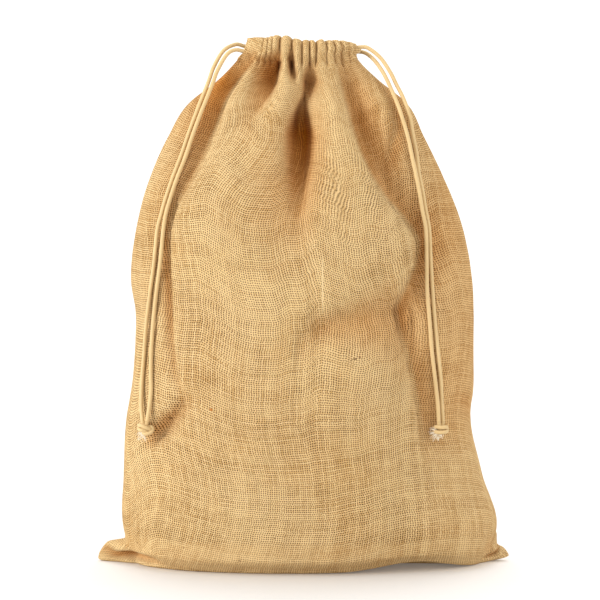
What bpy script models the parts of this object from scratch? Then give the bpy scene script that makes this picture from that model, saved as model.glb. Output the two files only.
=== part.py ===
"""Burlap drawstring sack, standing softly open inside, its mouth gathered on two drawcords.

The sack is one sheet of jute cloth. It is sewn shut along the bottom, turns up into the wall,
and at the top its edge is turned in and sewn down, which leaves a casing at the front and another
at the back. Two cords run through both casings, leave at opposite ends and hang down the front.

Metres, +Z up. The origin is on the floor under the middle of the sack, and the front faces -Y.
"""

import math
from collections import namedtuple

import bmesh
import bpy
import numpy as np
from mathutils import Vector

# The cloth
CLOTH = 0.0015  # thickness
FLOOR_SHEET = CLOTH / 2  # height of the middle of the cloth that lies on the floor
STITCH_LINE = 0.446  # height of the seam that closes the casings
GATHERS_FOOT = 0.395  # below this height the small gathers have died out
TURN_UNDER = 0.014  # height over which the wall turns under onto the floor
TUCK = 0.010  # how far it turns in on the way
SPREAD_FOOT = 0.330  # below this height the cloth is spread evenly round the wall
ROUNDNESS = 2.25  # exponent of the outline in plan: 2 is an ellipse, more is squarer

# The mesh of the cloth
SIDE_COLUMNS = 40  # strips across the front, and as many across the back
PLEATS = 10  # gathers in each casing, with four strips to each
PLEAT = 0.0027  # how far a gather swings to either side at the stitch line
CASING_PLEAT = 0.0030  # and in the outer wall of the casing

# The cords
CORD = 0.0035  # diameter
CORD_LINE = 0.012  # from the middle of the mouth to the line of the cords, front and back
UPPER_CORD = 0.4632  # height of the upper cord in a casing
LOWER_CORD = 0.4580  # height of the lower cord in a casing
CASING_MIDDLE = -0.001  # place across of the middle of the mouth
CASING_END = 0.052  # from there to the end of a casing
HEM_END = 0.043  # and to the end of its turned-in layer
PINCH = 0.905  # how far the two casings close in on each other at their ends, up to 1
DIP = 0.0010  # how much lower the top of a casing is between two gathers
LOOP_START = HEM_END + 0.0015  # from the middle of the mouth to where a cord comes free of the hem
CORD_STEP = 2.6 * CORD  # between the points of a hanging cord
LOOP_STEP = 1.6 * CORD  # between the points of a cord in the casings

LOOP_TURN = 0.006  # how far a cord bulges past the end of the hem where it turns back
KNOT_RING = 0.0036  # radius of the line of a knot's wraps
TAIL = 0.0065  # length of the cut ends below a knot

# The wall at a few heights: where its sides are, and how far it stands out in front and behind.
Section = namedtuple("Section", "height left right front back")
SECTIONS = [
    Section(0.000, -0.150, 0.160, 0.0800, 0.0780),
    Section(0.030, -0.160, 0.170, 0.0850, 0.0835),
    Section(0.080, -0.160, 0.159, 0.0876, 0.0868),
    Section(0.130, -0.157, 0.149, 0.0885, 0.0885),
    Section(0.154, -0.153, 0.151, 0.0885, 0.0885),
    Section(0.200, -0.149, 0.151, 0.0876, 0.0872),
    Section(0.225, -0.149, 0.151, 0.0866, 0.0860),
    Section(0.250, -0.153, 0.150, 0.0850, 0.0840),
    Section(0.300, -0.148, 0.141, 0.0790, 0.0780),
    Section(0.347, -0.135, 0.123, 0.0685, 0.0670),
    Section(0.380, -0.120, 0.107, 0.0560, 0.0550),
    Section(0.410, -0.101, 0.091, 0.0400, 0.0400),
    Section(0.430, -0.077, 0.068, 0.0250, 0.0250),
    Section(0.446, -0.058, 0.054, 0.0125, 0.0125),
    Section(0.480, -0.052, 0.050, 0.0120, 0.0120),
]

# The corners of the sack lie outside the wall as ears: how far each reaches at a few heights.
Ear = namedtuple("Ear", "height left right")
EARS = [
    Ear(0.000, -0.180, 0.178),
    Ear(0.004, -0.184, 0.182),
    Ear(0.011, -0.182, 0.184),
    Ear(0.016, -0.178, 0.179),
    Ear(0.021, -0.172, 0.172),
    Ear(0.027, -0.160, 0.170),
]
EAR_HALF_WIDTH = 1.6  # strips to either side of the seam that the ear takes up

# Where the front of the base stands a little off the floor.
Lift = namedtuple("Lift", "height across reach from_middle to_front")
LIFT = Lift(height=0.004, across=0.095, reach=0.034, from_middle=-0.045, to_front=-0.075)

# Where the crest of each gather in the front casing stands, and how high its top is.
Gather = namedtuple("Gather", "across top")
FRONT_GATHERS = [
    Gather(-0.045, 0.4715),
    Gather(-0.035, 0.4705),
    Gather(-0.026, 0.4715),
    Gather(-0.016, 0.4720),
    Gather(-0.006, 0.4700),
    Gather(0.002, 0.4695),
    Gather(0.010, 0.4695),
    Gather(0.018, 0.4690),
    Gather(0.029, 0.4690),
    Gather(0.042, 0.4695),
]
BACK_GATHERS = [
    Gather(-0.044, 0.4705),
    Gather(-0.034, 0.4710),
    Gather(-0.025, 0.4700),
    Gather(-0.015, 0.4715),
    Gather(-0.005, 0.4705),
    Gather(0.005, 0.4700),
    Gather(0.014, 0.4710),
    Gather(0.023, 0.4695),
    Gather(0.033, 0.4705),
    Gather(0.042, 0.4700),
]

# A fold is a soft trough along a line on the wall. It reaches so far to the left and right of the
# line, and has its own depth at each point. A short reach makes a crisp edge on that side.
Fold = namedtuple("Fold", "name left_reach right_reach line")
Point = namedtuple("Point", "across height depth")
FRONT_FOLDS = [
    Fold(
        "centre pocket",
        0.013,
        0.015,
        [
            Point(0.004, 0.442, 0.002),
            Point(0.003, 0.420, 0.014),
            Point(-0.002, 0.395, 0.021),
            Point(-0.003, 0.370, 0.014),
            Point(-0.002, 0.325, 0.003),
        ],
    ),
    Fold(
        "left flank",
        0.036,
        0.012,
        [
            Point(-0.050, 0.446, 0.002),
            Point(-0.074, 0.424, 0.008),
            Point(-0.090, 0.388, 0.013),
            Point(-0.108, 0.345, 0.010),
            Point(-0.124, 0.300, 0.006),
            Point(-0.128, 0.240, 0.004),
        ],
    ),
    Fold(
        "left hollow",
        0.014,
        0.012,
        [
            Point(-0.024, 0.446, 0.002),
            Point(-0.032, 0.430, 0.008),
            Point(-0.040, 0.405, 0.002),
        ],
    ),
    Fold(
        "right flank",
        0.010,
        0.034,
        [
            Point(0.032, 0.440, 0.003),
            Point(0.044, 0.410, 0.008),
            Point(0.060, 0.372, 0.013),
            Point(0.082, 0.336, 0.014),
            Point(0.104, 0.302, 0.013),
            Point(0.108, 0.272, 0.011),
            Point(0.096, 0.240, 0.010),
        ],
    ),
    Fold(
        "valley",
        0.014,
        0.030,
        [
            Point(0.086, 0.234, 0.010),
            Point(0.094, 0.205, 0.012),
            Point(0.104, 0.165, 0.012),
            Point(0.110, 0.120, 0.007),
            Point(0.112, 0.095, 0.002),
        ],
    ),
    Fold(
        "valley foot",
        0.034,
        0.030,
        [
            Point(0.108, 0.110, 0.003),
            Point(0.104, 0.060, 0.006),
            Point(0.100, 0.000, 0.010),
        ],
    ),
    Fold(
        "slant trough",
        0.020,
        0.012,
        [
            Point(0.000, 0.208, 0.002),
            Point(0.018, 0.222, 0.007),
            Point(0.050, 0.230, 0.008),
            Point(0.080, 0.232, 0.006),
        ],
    ),
    Fold(
        "knot dent",
        0.014,
        0.022,
        [
            Point(-0.112, 0.140, 0.003),
            Point(-0.122, 0.128, 0.009),
            Point(-0.136, 0.116, 0.003),
        ],
    ),
]
BACK_FOLDS = [
    Fold(
        "centre pocket",
        0.014,
        0.016,
        [
            Point(-0.006, 0.440, 0.003),
            Point(-0.004, 0.412, 0.016),
            Point(0.002, 0.380, 0.015),
            Point(0.006, 0.325, 0.003),
        ],
    ),
    Fold(
        "flank by the fold",
        0.034,
        0.012,
        [
            Point(-0.048, 0.440, 0.003),
            Point(-0.070, 0.402, 0.010),
            Point(-0.094, 0.350, 0.011),
            Point(-0.106, 0.290, 0.004),
        ],
    ),
    Fold(
        "flank by the seam",
        0.012,
        0.034,
        [
            Point(0.042, 0.440, 0.003),
            Point(0.062, 0.400, 0.011),
            Point(0.080, 0.350, 0.012),
            Point(0.092, 0.290, 0.005),
            Point(0.088, 0.250, 0.002),
        ],
    ),
    Fold(
        "low crease",
        0.020,
        0.024,
        [
            Point(-0.090, 0.210, 0.003),
            Point(-0.050, 0.190, 0.007),
            Point(0.010, 0.182, 0.003),
        ],
    ),
]


# The hanging ends of the cords, from inside the casing down to the knot, in metres.
STRANDS = {
    "left_cord_front": [
        (-0.0461, -0.0075, 0.4580),
        (-0.0530, -0.0050, 0.4588),
        (-0.0600, -0.0068, 0.4590),
        (-0.0676, -0.0102, 0.4542),
        (-0.0767, -0.0135, 0.4395),
        (-0.0832, -0.0170, 0.4260),
        (-0.0942, -0.0232, 0.4020),
        (-0.1019, -0.0292, 0.3826),
        (-0.1081, -0.0350, 0.3626),
        (-0.1138, -0.0396, 0.3444),
        (-0.1187, -0.0432, 0.3262),
        (-0.1215, -0.0455, 0.3144),
        (-0.1234, -0.0485, 0.3006),
        (-0.1261, -0.0518, 0.2727),
        (-0.1294, -0.0511, 0.2470),
        (-0.1320, -0.0494, 0.2240),
        (-0.1340, -0.0487, 0.1990),
        (-0.1345, -0.0497, 0.1775),
        (-0.1340, -0.0513, 0.1610),
        (-0.1353, -0.0534, 0.1470),
        (-0.1372, -0.0547, 0.1322),
    ],
    "left_cord_back": [
        (-0.0461, 0.0075, 0.4634),
        (-0.0530, 0.0046, 0.4636),
        (-0.0600, 0.0020, 0.4642),
        (-0.0705, -0.0042, 0.4575),
        (-0.0800, -0.0096, 0.4420),
        (-0.0866, -0.0138, 0.4278),
        (-0.0978, -0.0206, 0.4033),
        (-0.1055, -0.0256, 0.3840),
        (-0.1119, -0.0316, 0.3638),
        (-0.1176, -0.0366, 0.3454),
        (-0.1226, -0.0404, 0.3270),
        (-0.1256, -0.0428, 0.3142),
        (-0.1288, -0.0446, 0.3000),
        (-0.1316, -0.0472, 0.2720),
        (-0.1350, -0.0461, 0.2470),
        (-0.1386, -0.0425, 0.2190),
        (-0.1406, -0.0409, 0.1930),
        (-0.1424, -0.0411, 0.1675),
        (-0.1428, -0.0469, 0.1460),
        (-0.1412, -0.0524, 0.1322),
    ],
    "right_cord_front": [
        (0.0441, -0.0075, 0.4634),
        (0.0510, -0.0048, 0.4636),
        (0.0570, -0.0052, 0.4616),
        (0.0678, -0.0076, 0.4513),
        (0.0766, -0.0104, 0.4372),
        (0.0818, -0.0126, 0.4267),
        (0.0880, -0.0176, 0.4144),
        (0.0934, -0.0228, 0.3989),
        (0.0967, -0.0282, 0.3832),
        (0.1001, -0.0330, 0.3684),
        (0.1028, -0.0383, 0.3493),
        (0.1062, -0.0420, 0.3327),
        (0.1086, -0.0452, 0.3171),
        (0.1116, -0.0482, 0.3005),
        (0.1128, -0.0528, 0.2728),
        (0.1141, -0.0551, 0.2476),
        (0.1157, -0.0567, 0.2206),
        (0.1176, -0.0573, 0.1950),
        (0.1202, -0.0561, 0.1700),
        (0.1212, -0.0551, 0.1480),
        (0.1222, -0.0571, 0.1322),
    ],
    "right_cord_back": [
        (0.0441, 0.0075, 0.4580),
        (0.0510, 0.0048, 0.4576),
        (0.0570, 0.0008, 0.4545),
        (0.0640, -0.0056, 0.4470),
        (0.0709, -0.0112, 0.4358),
        (0.0766, -0.0158, 0.4240),
        (0.0827, -0.0216, 0.4096),
        (0.0874, -0.0278, 0.3957),
        (0.0921, -0.0328, 0.3791),
        (0.0953, -0.0376, 0.3634),
        (0.0982, -0.0412, 0.3494),
        (0.1014, -0.0446, 0.3330),
        (0.1040, -0.0472, 0.3172),
        (0.1070, -0.0498, 0.3006),
        (0.1076, -0.0548, 0.2730),
        (0.1080, -0.0571, 0.2478),
        (0.1102, -0.0583, 0.2207),
        (0.1122, -0.0591, 0.1954),
        (0.1156, -0.0585, 0.1670),
        (0.1176, -0.0595, 0.1480),
        (0.1184, -0.0605, 0.1326),
    ],
}

# Each knot: its middle, how far it leans, and the way its cut ends point.
Knot = namedtuple("Knot", "middle lean tails")
KNOTS = {
    "left_knot": Knot((-0.1392, -0.0548, 0.1270), 14, [(-0.5, -0.2, -1.0), (0.1, -0.3, -1.0)]),
    "right_knot": Knot((0.1202, -0.0601, 0.1270), -6, [(-0.9, -0.2, -0.8), (-0.3, -0.3, -1.0)]),
}


def smooth_step(start, end, value):
    """0 before start, 1 after end, and a smooth rise between."""
    share = np.clip((value - start) / (end - start), 0.0, 1.0)
    return share * share * (3.0 - 2.0 * share)


def read_table(table, column, height):
    """The value of a named column at a height, on a smooth curve through the rows."""
    heights = np.array([row.height for row in table])
    values = np.array([getattr(row, column) for row in table])
    slopes = np.gradient(values, heights)
    height = min(max(height, heights[0]), heights[-1])
    low = int(np.clip(np.searchsorted(heights, height) - 1, 0, len(heights) - 2))
    span = heights[low + 1] - heights[low]
    t = (height - heights[low]) / span
    from_low = (2 * t**3 - 3 * t**2 + 1) * values[low] + (t**3 - 2 * t**2 + t) * span * slopes[low]
    from_high = (3 * t**2 - 2 * t**3) * values[low + 1] + (t**3 - t**2) * span * slopes[low + 1]
    return from_low + from_high


def even_positions(half_width, depth, shares):
    """Places across a half outline, from -1 to 1, that part its length in these shares."""
    turn = np.linspace(0.0, math.pi, 241)
    x = -half_width * np.sign(np.cos(turn)) * np.abs(np.cos(turn)) ** (2 / ROUNDNESS)
    y = depth * np.sin(turn).clip(0.0) ** (2 / ROUNDNESS)
    length = np.concatenate([[0.0], np.cumsum(np.hypot(np.diff(x), np.diff(y)))])
    return np.interp(shares * length[-1], length, x / half_width)


def gathered_positions(gathers, shares):
    """Places across the mouth, from -1 to 1, for the same shares of the cloth."""
    crests = [(k + 0.5) / PLEATS for k in range(PLEATS)]
    left, right = SECTIONS[-1].left, SECTIONS[-1].right
    places = [left] + [gather.across for gather in gathers] + [right]
    x = np.interp(shares, [0.0] + crests + [1.0], places)
    return (2 * x - left - right) / (right - left)


def pleat_wave(shares):
    """1 at the crest of each gather, -1 between two of them."""
    return -np.cos(2 * math.pi * PLEATS * shares)


def fold_depth(folds, x, height):
    """How far the folds push the wall in at each place across, at one height."""
    total = np.zeros_like(x)
    for fold in folds:
        nearest = np.full_like(x, np.inf)
        push = np.zeros_like(x)
        for start, end in zip(fold.line[:-1], fold.line[1:]):
            run = np.array([end.across - start.across, end.height - start.height])
            along = ((x - start.across) * run[0] + (height - start.height) * run[1]) / run.dot(run)
            along = along.clip(0.0, 1.0)
            off_x = x - start.across - along * run[0]
            off_z = height - start.height - along * run[1]
            away = np.hypot(off_x, off_z)
            reach = np.where(off_x < 0, fold.left_reach, fold.right_reach)
            depth = start.depth + (end.depth - start.depth) * along
            value = depth * np.exp(-((away / reach) ** 2))
            closer = away < nearest
            push = np.where(closer, value, push)
            nearest = np.where(closer, away, nearest)
        total += push
    return total


def plain_outline(height, shares, gathers, side):
    """The wall's plan before its folds: places across, places outwards and both of its normals."""
    left = read_table(SECTIONS, "left", height)
    right = read_table(SECTIONS, "right", height)
    depth = read_table(SECTIONS, side, height)
    middle = (left + right) / 2
    half = (right - left) / 2
    even = even_positions(half, depth, shares)
    gathered = gathered_positions(gathers, shares)
    across = even + (gathered - even) * smooth_step(SPREAD_FOOT, STITCH_LINE, height)
    outward = (1 - np.abs(across).clip(0, 1) ** ROUNDNESS) ** (1 / ROUNDNESS)
    normal_x = np.sign(across) * np.abs(across) ** (ROUNDNESS - 1) / half
    normal_y = outward ** (ROUNDNESS - 1) / depth
    size = np.hypot(normal_x, normal_y)
    return middle + half * across, depth * outward, normal_x / size, normal_y / size


def ear_reach(x, shares, height):
    """The same places across, with the corners drawn out to the ears."""
    strips = np.minimum(shares, 1 - shares) * SIDE_COLUMNS
    share = np.clip(1 - strips / EAR_HALF_WIDTH, 0.0, 1.0)
    side = np.where(shares < 0.5, read_table(EARS, "left", height), read_table(EARS, "right", height))
    inside = height < EARS[-1].height
    return x + (side - x) * share if inside else x


def wall_row(height, side):
    """One row of the wall, from the left seam to the right one, as a list of points."""
    front = side == "front"
    shares = np.linspace(0.0, 1.0, SIDE_COLUMNS + 1)
    gathers = FRONT_GATHERS if front else BACK_GATHERS
    folds = FRONT_FOLDS if front else BACK_FOLDS
    x, y, normal_x, normal_y = plain_outline(height, shares, gathers, side)
    seam_fade = np.sin(math.pi * shares).clip(0.0) ** 0.5
    push = fold_depth(folds, x, height) * seam_fade
    gather = PLEAT * pleat_wave(shares) * smooth_step(GATHERS_FOOT, STITCH_LINE, height)
    gather = np.where((shares == 0.0) | (shares == 1.0), 0.0, gather)
    x = x - normal_x * push
    y = y - normal_y * push + gather
    under = 1 - smooth_step(0.0, TURN_UNDER, height)
    y = y - TUCK * under * seam_fade
    x = ear_reach(x, shares, height)
    direction = -1 if front else 1
    return [(float(a), float(direction * b), height) for a, b in zip(x, y)]


def lift_off(x, y):
    """How far the sheet under the sack stands off the floor: a little at its front, right of middle."""
    across = math.exp(-(((x - LIFT.across) / LIFT.reach) ** 2))
    inward = smooth_step(LIFT.from_middle, LIFT.to_front, y)
    return LIFT.height * across * float(inward)


def base_row(share, front_row, back_row):
    """A row under the sack, at this share of the way from the bottom seam to the edge of the base."""
    rows = []
    for row in (front_row, back_row):
        points = []
        for x, y, _ in row:
            inset = 1 - 0.03 * (1 - share)
            points.append((x * inset, y * share, FLOOR_SHEET + lift_off(x, y * share)))
        rows.append(points)
    return rows


def casing_row(side, share, outward, swing):
    """A row of a casing. Share runs from its stitch line, 0, to its top fold, 1. Outward moves the
    row away from the line of the cords, and swing is the size of its gathers."""
    front = side == "front"
    gathers = FRONT_GATHERS if front else BACK_GATHERS
    shares = np.linspace(0.0, 1.0, SIDE_COLUMNS + 1)
    crests = [(k + 0.5) / PLEATS for k in range(PLEATS)]
    tops = np.interp(shares, crests, [gather.top for gather in gathers])
    end = CASING_END if outward >= 0 else HEM_END
    across = gathered_positions(gathers, shares)
    x = CASING_MIDDLE + across * end
    line = CORD_LINE * np.sqrt(1 - (across * PINCH) ** 2)
    y = line + outward + swing * pleat_wave(shares)
    direction = -1 if front else 1
    dip = DIP * (1 - pleat_wave(shares))
    top = STITCH_LINE + (tops - STITCH_LINE - dip) * share
    return [(float(a), float(direction * b), float(c)) for a, b, c in zip(x, y, top)]


# Rows of a casing in order, from the stitch line up its outer wall, over the top and down its inner one.
CasingRow = namedtuple("CasingRow", "share outward swing")
CASING_ROWS = [
    CasingRow(0.16, 0.0034, 0.0029),
    CasingRow(0.42, 0.0063, CASING_PLEAT),
    CasingRow(0.88, 0.0060, CASING_PLEAT),
    CasingRow(1.00, 0.0006, 0.0020),
    CasingRow(0.88, -0.0052, 0.0016),
    CasingRow(0.42, -0.0054, 0.0018),
    CasingRow(0.04, -0.0028, 0.0026),
]

# Heights of the wall's rows, from the floor up to just under the stitch line.
WALL_HEIGHTS = [0.004, 0.011, 0.020, 0.032, 0.060, 0.098, 0.140, 0.180, 0.212, 0.240]
WALL_HEIGHTS += [0.270, 0.302, 0.330, 0.355, 0.377, 0.396, 0.411, 0.424, 0.436]
# Rows of the sheet under the sack, as shares of the way from the bottom seam to its edge.
BASE_SHARES = [0.40, 0.72, 0.94]


def strip(builder, lower, upper, closed):
    """Faces between two rows of as many points each."""
    count = len(lower) if closed else len(lower) - 1
    for k in range(count):
        following = (k + 1) % len(lower)
        corners = [lower[k], lower[following], upper[following], upper[k]]
        distinct = list(dict.fromkeys(corners))
        if len(distinct) > 2:
            builder.faces.new(distinct)


def ring(builder, front_row, back_row):
    """The points of a closed row: along the front to the right seam, and back along the back."""
    points = list(front_row) + list(reversed(back_row))[1:-1]
    return [builder.verts.new(point) for point in points]


def new_material(name, colour, roughness):
    """A plain finish."""
    material = bpy.data.materials.new(name)
    material.use_nodes = True
    shader = material.node_tree.nodes["Principled BSDF"]
    shader.inputs["Base Color"].default_value = (*colour, 1.0)
    shader.inputs["Roughness"].default_value = roughness
    shader.inputs["Metallic"].default_value = 0.0
    return material


def place(name, builder, material):
    """Puts a built mesh in the scene as a named object."""
    mesh = bpy.data.meshes.new(name)
    builder.to_mesh(mesh)
    builder.free()
    mesh.materials.append(material)
    mesh.shade_smooth()
    piece = bpy.data.objects.new(name, mesh)
    bpy.context.collection.objects.link(piece)
    return piece


def make_sack(material):
    """The sack: the middle of its cloth row by row, and a Solidify modifier for its thickness."""
    builder = bmesh.new()
    edge_front = wall_row(0.0, "front")
    edge_back = wall_row(0.0, "back")
    seam_front, _ = base_row(0.0, edge_front, edge_back)
    seam = [builder.verts.new(point) for point in seam_front]
    row = seam + list(reversed(seam))[1:-1]
    for share in BASE_SHARES:
        following = ring(builder, *base_row(share, edge_front, edge_back))
        strip(builder, row, following, True)
        row = following
    for height in WALL_HEIGHTS + [STITCH_LINE]:
        following = ring(builder, wall_row(height, "front"), wall_row(height, "back"))
        strip(builder, row, following, True)
        row = following
    front = row[: SIDE_COLUMNS + 1]
    back = [row[0]] + list(reversed(row[SIDE_COLUMNS:]))
    for casing in CASING_ROWS:
        points = casing_row("front", casing.share, casing.outward, casing.swing)
        following = [builder.verts.new(point) for point in points]
        strip(builder, front, following, False)
        front = following
        points = casing_row("back", casing.share, casing.outward, casing.swing)
        following = [builder.verts.new(point) for point in points]
        strip(builder, following, back, False)
        back = following
    sack = place("sack_cloth", builder, material)
    thickness = sack.modifiers.new("thickness", "SOLIDIFY")
    thickness.thickness = CLOTH
    thickness.offset = 0.0
    return sack


def smooth_route(points, step):
    """Points about this far apart on a smooth curve through the given ones."""
    points = np.array(points)
    ends = np.vstack([2 * points[0] - points[1], points, 2 * points[-1] - points[-2]])
    curve = []
    for before, start, end, after in zip(ends[:-3], ends[1:-2], ends[2:-1], ends[3:]):
        for t in np.linspace(0.0, 1.0, 12, endpoint=False):
            pull = (2 * before - 5 * start + 4 * end - after) * t**2
            bend = (3 * start - before - 3 * end + after) * t**3
            curve.append((2 * start + (end - before) * t + pull + bend) / 2)
    curve = np.array(curve + [points[-1]])
    length = np.concatenate([[0.0], np.cumsum(np.linalg.norm(np.diff(curve, axis=0), axis=1))])
    even = np.linspace(0.0, length[-1], max(2, round(length[-1] / step) + 1))
    return np.column_stack([np.interp(even, length, curve[:, k]) for k in range(3)])


def make_cord(name, route, material):
    """A round cord along a route, with its ends closed."""
    curve = bpy.data.curves.new(name, "CURVE")
    curve.dimensions = "3D"
    curve.bevel_depth = CORD / 2
    curve.bevel_resolution = 2
    curve.use_fill_caps = True
    spline = curve.splines.new("POLY")
    spline.points.add(len(route) - 1)
    for point, place_on_route in zip(spline.points, route):
        point.co = (*place_on_route, 1.0)
    curve.materials.append(material)
    cord = bpy.data.objects.new(name, curve)
    bpy.context.collection.objects.link(cord)
    return cord


def casing_line(x):
    """How far from the middle of the mouth, front or back, the cords lie at this place across."""
    across = (x - CASING_MIDDLE) / CASING_END
    return CORD_LINE * math.sqrt(1 - (across * PINCH) ** 2)


def loop_route(start, turn, front_height, back_height):
    """Through the front casing from start, round at the other end, and back through the back one."""
    straight = np.linspace(start, turn, 12)
    points = [(x, -casing_line(x), front_height) for x in straight]
    bulge = math.copysign(LOOP_TURN, turn)
    for angle in np.linspace(0.0, math.pi, 9)[1:-1]:
        share = angle / math.pi
        height = front_height + (back_height - front_height) * share
        points.append((turn + bulge * math.sin(angle), -casing_line(turn) * math.cos(angle), height))
    points += [(x, casing_line(x), back_height) for x in reversed(straight)]
    return points


def join(piece, others):
    """Unites other solids with a piece, one after the other."""
    for k, other in enumerate(others):
        other.hide_render = True
        other.display_type = "WIRE"
        union = piece.modifiers.new(f"union {k + 1}", "BOOLEAN")
        union.operation = "UNION"
        union.object = other
        union.solver = "EXACT"


def make_knot(name, knot, material):
    """An overhand knot in two cords: a core, two wraps round it and two cut ends below."""
    builder = bmesh.new()
    bmesh.ops.create_uvsphere(builder, u_segments=14, v_segments=8, radius=KNOT_RING + 0.0006)
    core = place(name, builder, material)
    core.location = knot.middle
    core.scale = (1.1, 0.95, 1.25)
    others = []
    for level, lean in ((0.0022, knot.lean), (-0.0017, knot.lean - 12)):
        builder = bmesh.new()
        circle = bmesh.ops.create_circle(builder, radius=CORD / 2, segments=8)["verts"]
        for point in circle:
            point.co = (KNOT_RING + point.co.x, 0.0, point.co.y)
        bmesh.ops.spin(
            builder,
            geom=list(builder.edges),
            cent=(0, 0, 0),
            axis=(0, 0, 1),
            angle=2 * math.pi,
            steps=18,
            use_merge=True,
        )
        bmesh.ops.recalc_face_normals(builder, faces=builder.faces)
        wrap = place(f"{name} wrap", builder, material)
        wrap.location = (knot.middle[0], knot.middle[1], knot.middle[2] + level)
        wrap.rotation_euler = (math.radians(6), math.radians(lean), 0)
        wrap.scale = (1.12, 0.92, 1.0)
        others.append(wrap)
    for tail in knot.tails:
        builder = bmesh.new()
        bmesh.ops.create_cone(
            builder, cap_ends=True, segments=9, radius1=CORD * 0.62, radius2=CORD * 0.45, depth=TAIL
        )
        end = place(f"{name} tail", builder, material)
        direction = Vector(tail).normalized()
        end.location = Vector(knot.middle) + direction * (KNOT_RING + TAIL * 0.28)
        end.rotation_euler = (-direction).to_track_quat("Z", "Y").to_euler()
        others.append(end)
    join(core, others)
    return core


def main():
    """Builds the sack and its cords."""
    for piece in list(bpy.data.objects):
        bpy.data.objects.remove(piece, do_unlink=True)
    jute = new_material("jute", (0.60, 0.38, 0.16), 0.9)
    cotton = new_material("waxed_cotton", (0.80, 0.58, 0.30), 0.6)
    make_sack(jute)
    left = CASING_MIDDLE - LOOP_START
    right = CASING_MIDDLE + LOOP_START
    loops = {
        "left_cord_in_casing": loop_route(left, right, LOWER_CORD, UPPER_CORD),
        "right_cord_in_casing": loop_route(right, left, UPPER_CORD, LOWER_CORD),
    }
    for name, points in loops.items():
        make_cord(name, smooth_route(points, LOOP_STEP), cotton)
    for name, points in STRANDS.items():
        make_cord(name, smooth_route(points, CORD_STEP), cotton)
    for name, knot in KNOTS.items():
        make_knot(name, knot, cotton)


main()
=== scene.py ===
"""Looks of a burlap drawstring sack: jute cloth, waxed cotton drawcords, floor, lights and camera.

The cloth is two panels sewn together down the sides and along the bottom. Each turns up from the
bottom seam into its wall, is gathered at the mouth and turned in there as a casing. Two cords run
through the casings and hang down the front, tied in knots. Metres, +Z up, the front faces -Y, as in
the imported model.
"""

from __future__ import annotations

import logging
import math
from dataclasses import dataclass, field
from enum import Enum
from typing import Sequence

import bpy
import numpy as np
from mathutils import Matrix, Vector

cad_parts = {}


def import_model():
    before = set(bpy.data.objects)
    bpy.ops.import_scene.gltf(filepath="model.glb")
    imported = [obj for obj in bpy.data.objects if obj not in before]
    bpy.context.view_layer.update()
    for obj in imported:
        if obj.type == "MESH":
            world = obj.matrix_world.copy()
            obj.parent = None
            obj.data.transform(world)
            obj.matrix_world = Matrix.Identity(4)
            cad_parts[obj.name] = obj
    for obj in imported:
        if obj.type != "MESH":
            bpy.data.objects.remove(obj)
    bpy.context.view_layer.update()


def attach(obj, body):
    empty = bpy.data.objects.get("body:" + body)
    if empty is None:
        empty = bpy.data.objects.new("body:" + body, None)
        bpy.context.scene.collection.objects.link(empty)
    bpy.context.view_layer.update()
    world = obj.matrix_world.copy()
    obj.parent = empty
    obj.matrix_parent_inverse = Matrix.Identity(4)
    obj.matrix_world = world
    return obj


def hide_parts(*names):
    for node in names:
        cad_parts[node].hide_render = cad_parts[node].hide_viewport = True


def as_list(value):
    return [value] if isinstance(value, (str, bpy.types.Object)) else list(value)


log = logging.getLogger("sack")
BODY = "root"
MM = 0.001
TENTHS = 10000  # tenths of a millimetre in a metre
CORD_DIAMETER = 0.0035
CORD_STEP = 0.0015
LOOP_STEP = 0.002
ASKEW = (0.31, 0.87, 0.39)  # no cord or fibre starts out this way

Place = tuple[float, float, float]


class Slot(Enum):
    """The record's material slots."""

    JUTE = "jute_cloth"
    COTTON = "cotton_cord"


class Side(Enum):
    """The two faces of the sack, and the way each looks along Y."""

    FRONT = -1.0
    BACK = 1.0


# ---------------------------------------------------------------- small helpers


def smooth_step(start: float, end: float, value: np.ndarray | float) -> np.ndarray:
    """Rises smoothly from 0 at start to 1 at end, read at the places of value."""
    share = np.clip((value - start) / (end - start), 0.0, 1.0)
    return share * share * (3.0 - 2.0 * share)


def catmull(
    before: np.ndarray, start: np.ndarray, end: np.ndarray, after: np.ndarray, t: float
) -> np.ndarray:
    """A point, or a row of them, on a smooth curve between two others.

    Args:
        before: the one before them.
        start: the first.
        end: the second.
        after: the one after them.
        t: the share of the way between them.

    Returns:
        The point or row there.
    """
    pull = (2 * before - 5 * start + 4 * end - after) * t**2
    bend = (3 * start - before - 3 * end + after) * t**3
    return (2 * start + (end - before) * t + pull + bend) / 2


def running(steps: np.ndarray) -> np.ndarray:
    """The running sums of some rows, from 0."""
    return np.concatenate([np.zeros((1, *steps.shape[1:])), np.cumsum(steps, axis=0)])


def spans(route: np.ndarray) -> np.ndarray:
    """The distances between a route's points."""
    return np.linalg.norm(np.diff(route, axis=0), axis=-1)


def smooth_curve(points: Sequence[Sequence[float]], step: float, fine: int = 12) -> np.ndarray:
    """Reads points at even steps from a smooth curve through a route's own points.

    Args:
        points: the route's points.
        step: the distance wanted between the new points.
        fine: how many places are worked out between two of the route's points.

    Returns:
        The new points, an array of three columns.
    """
    route = np.array(points, dtype=float)
    ends = np.vstack([2 * route[0] - route[1], route, 2 * route[-1] - route[-2]])
    curve = [
        catmull(*four, t)
        for four in zip(ends[:-3], ends[1:-2], ends[2:-1], ends[3:])
        for t in np.linspace(0.0, 1.0, fine, endpoint=False)
    ]
    line = np.array(curve + [route[-1]])
    length = running(spans(line))
    even = np.linspace(0.0, length[-1], max(2, round(length[-1] / step) + 1))
    return np.column_stack([np.interp(even, length, line[:, k]) for k in range(3)])


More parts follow.
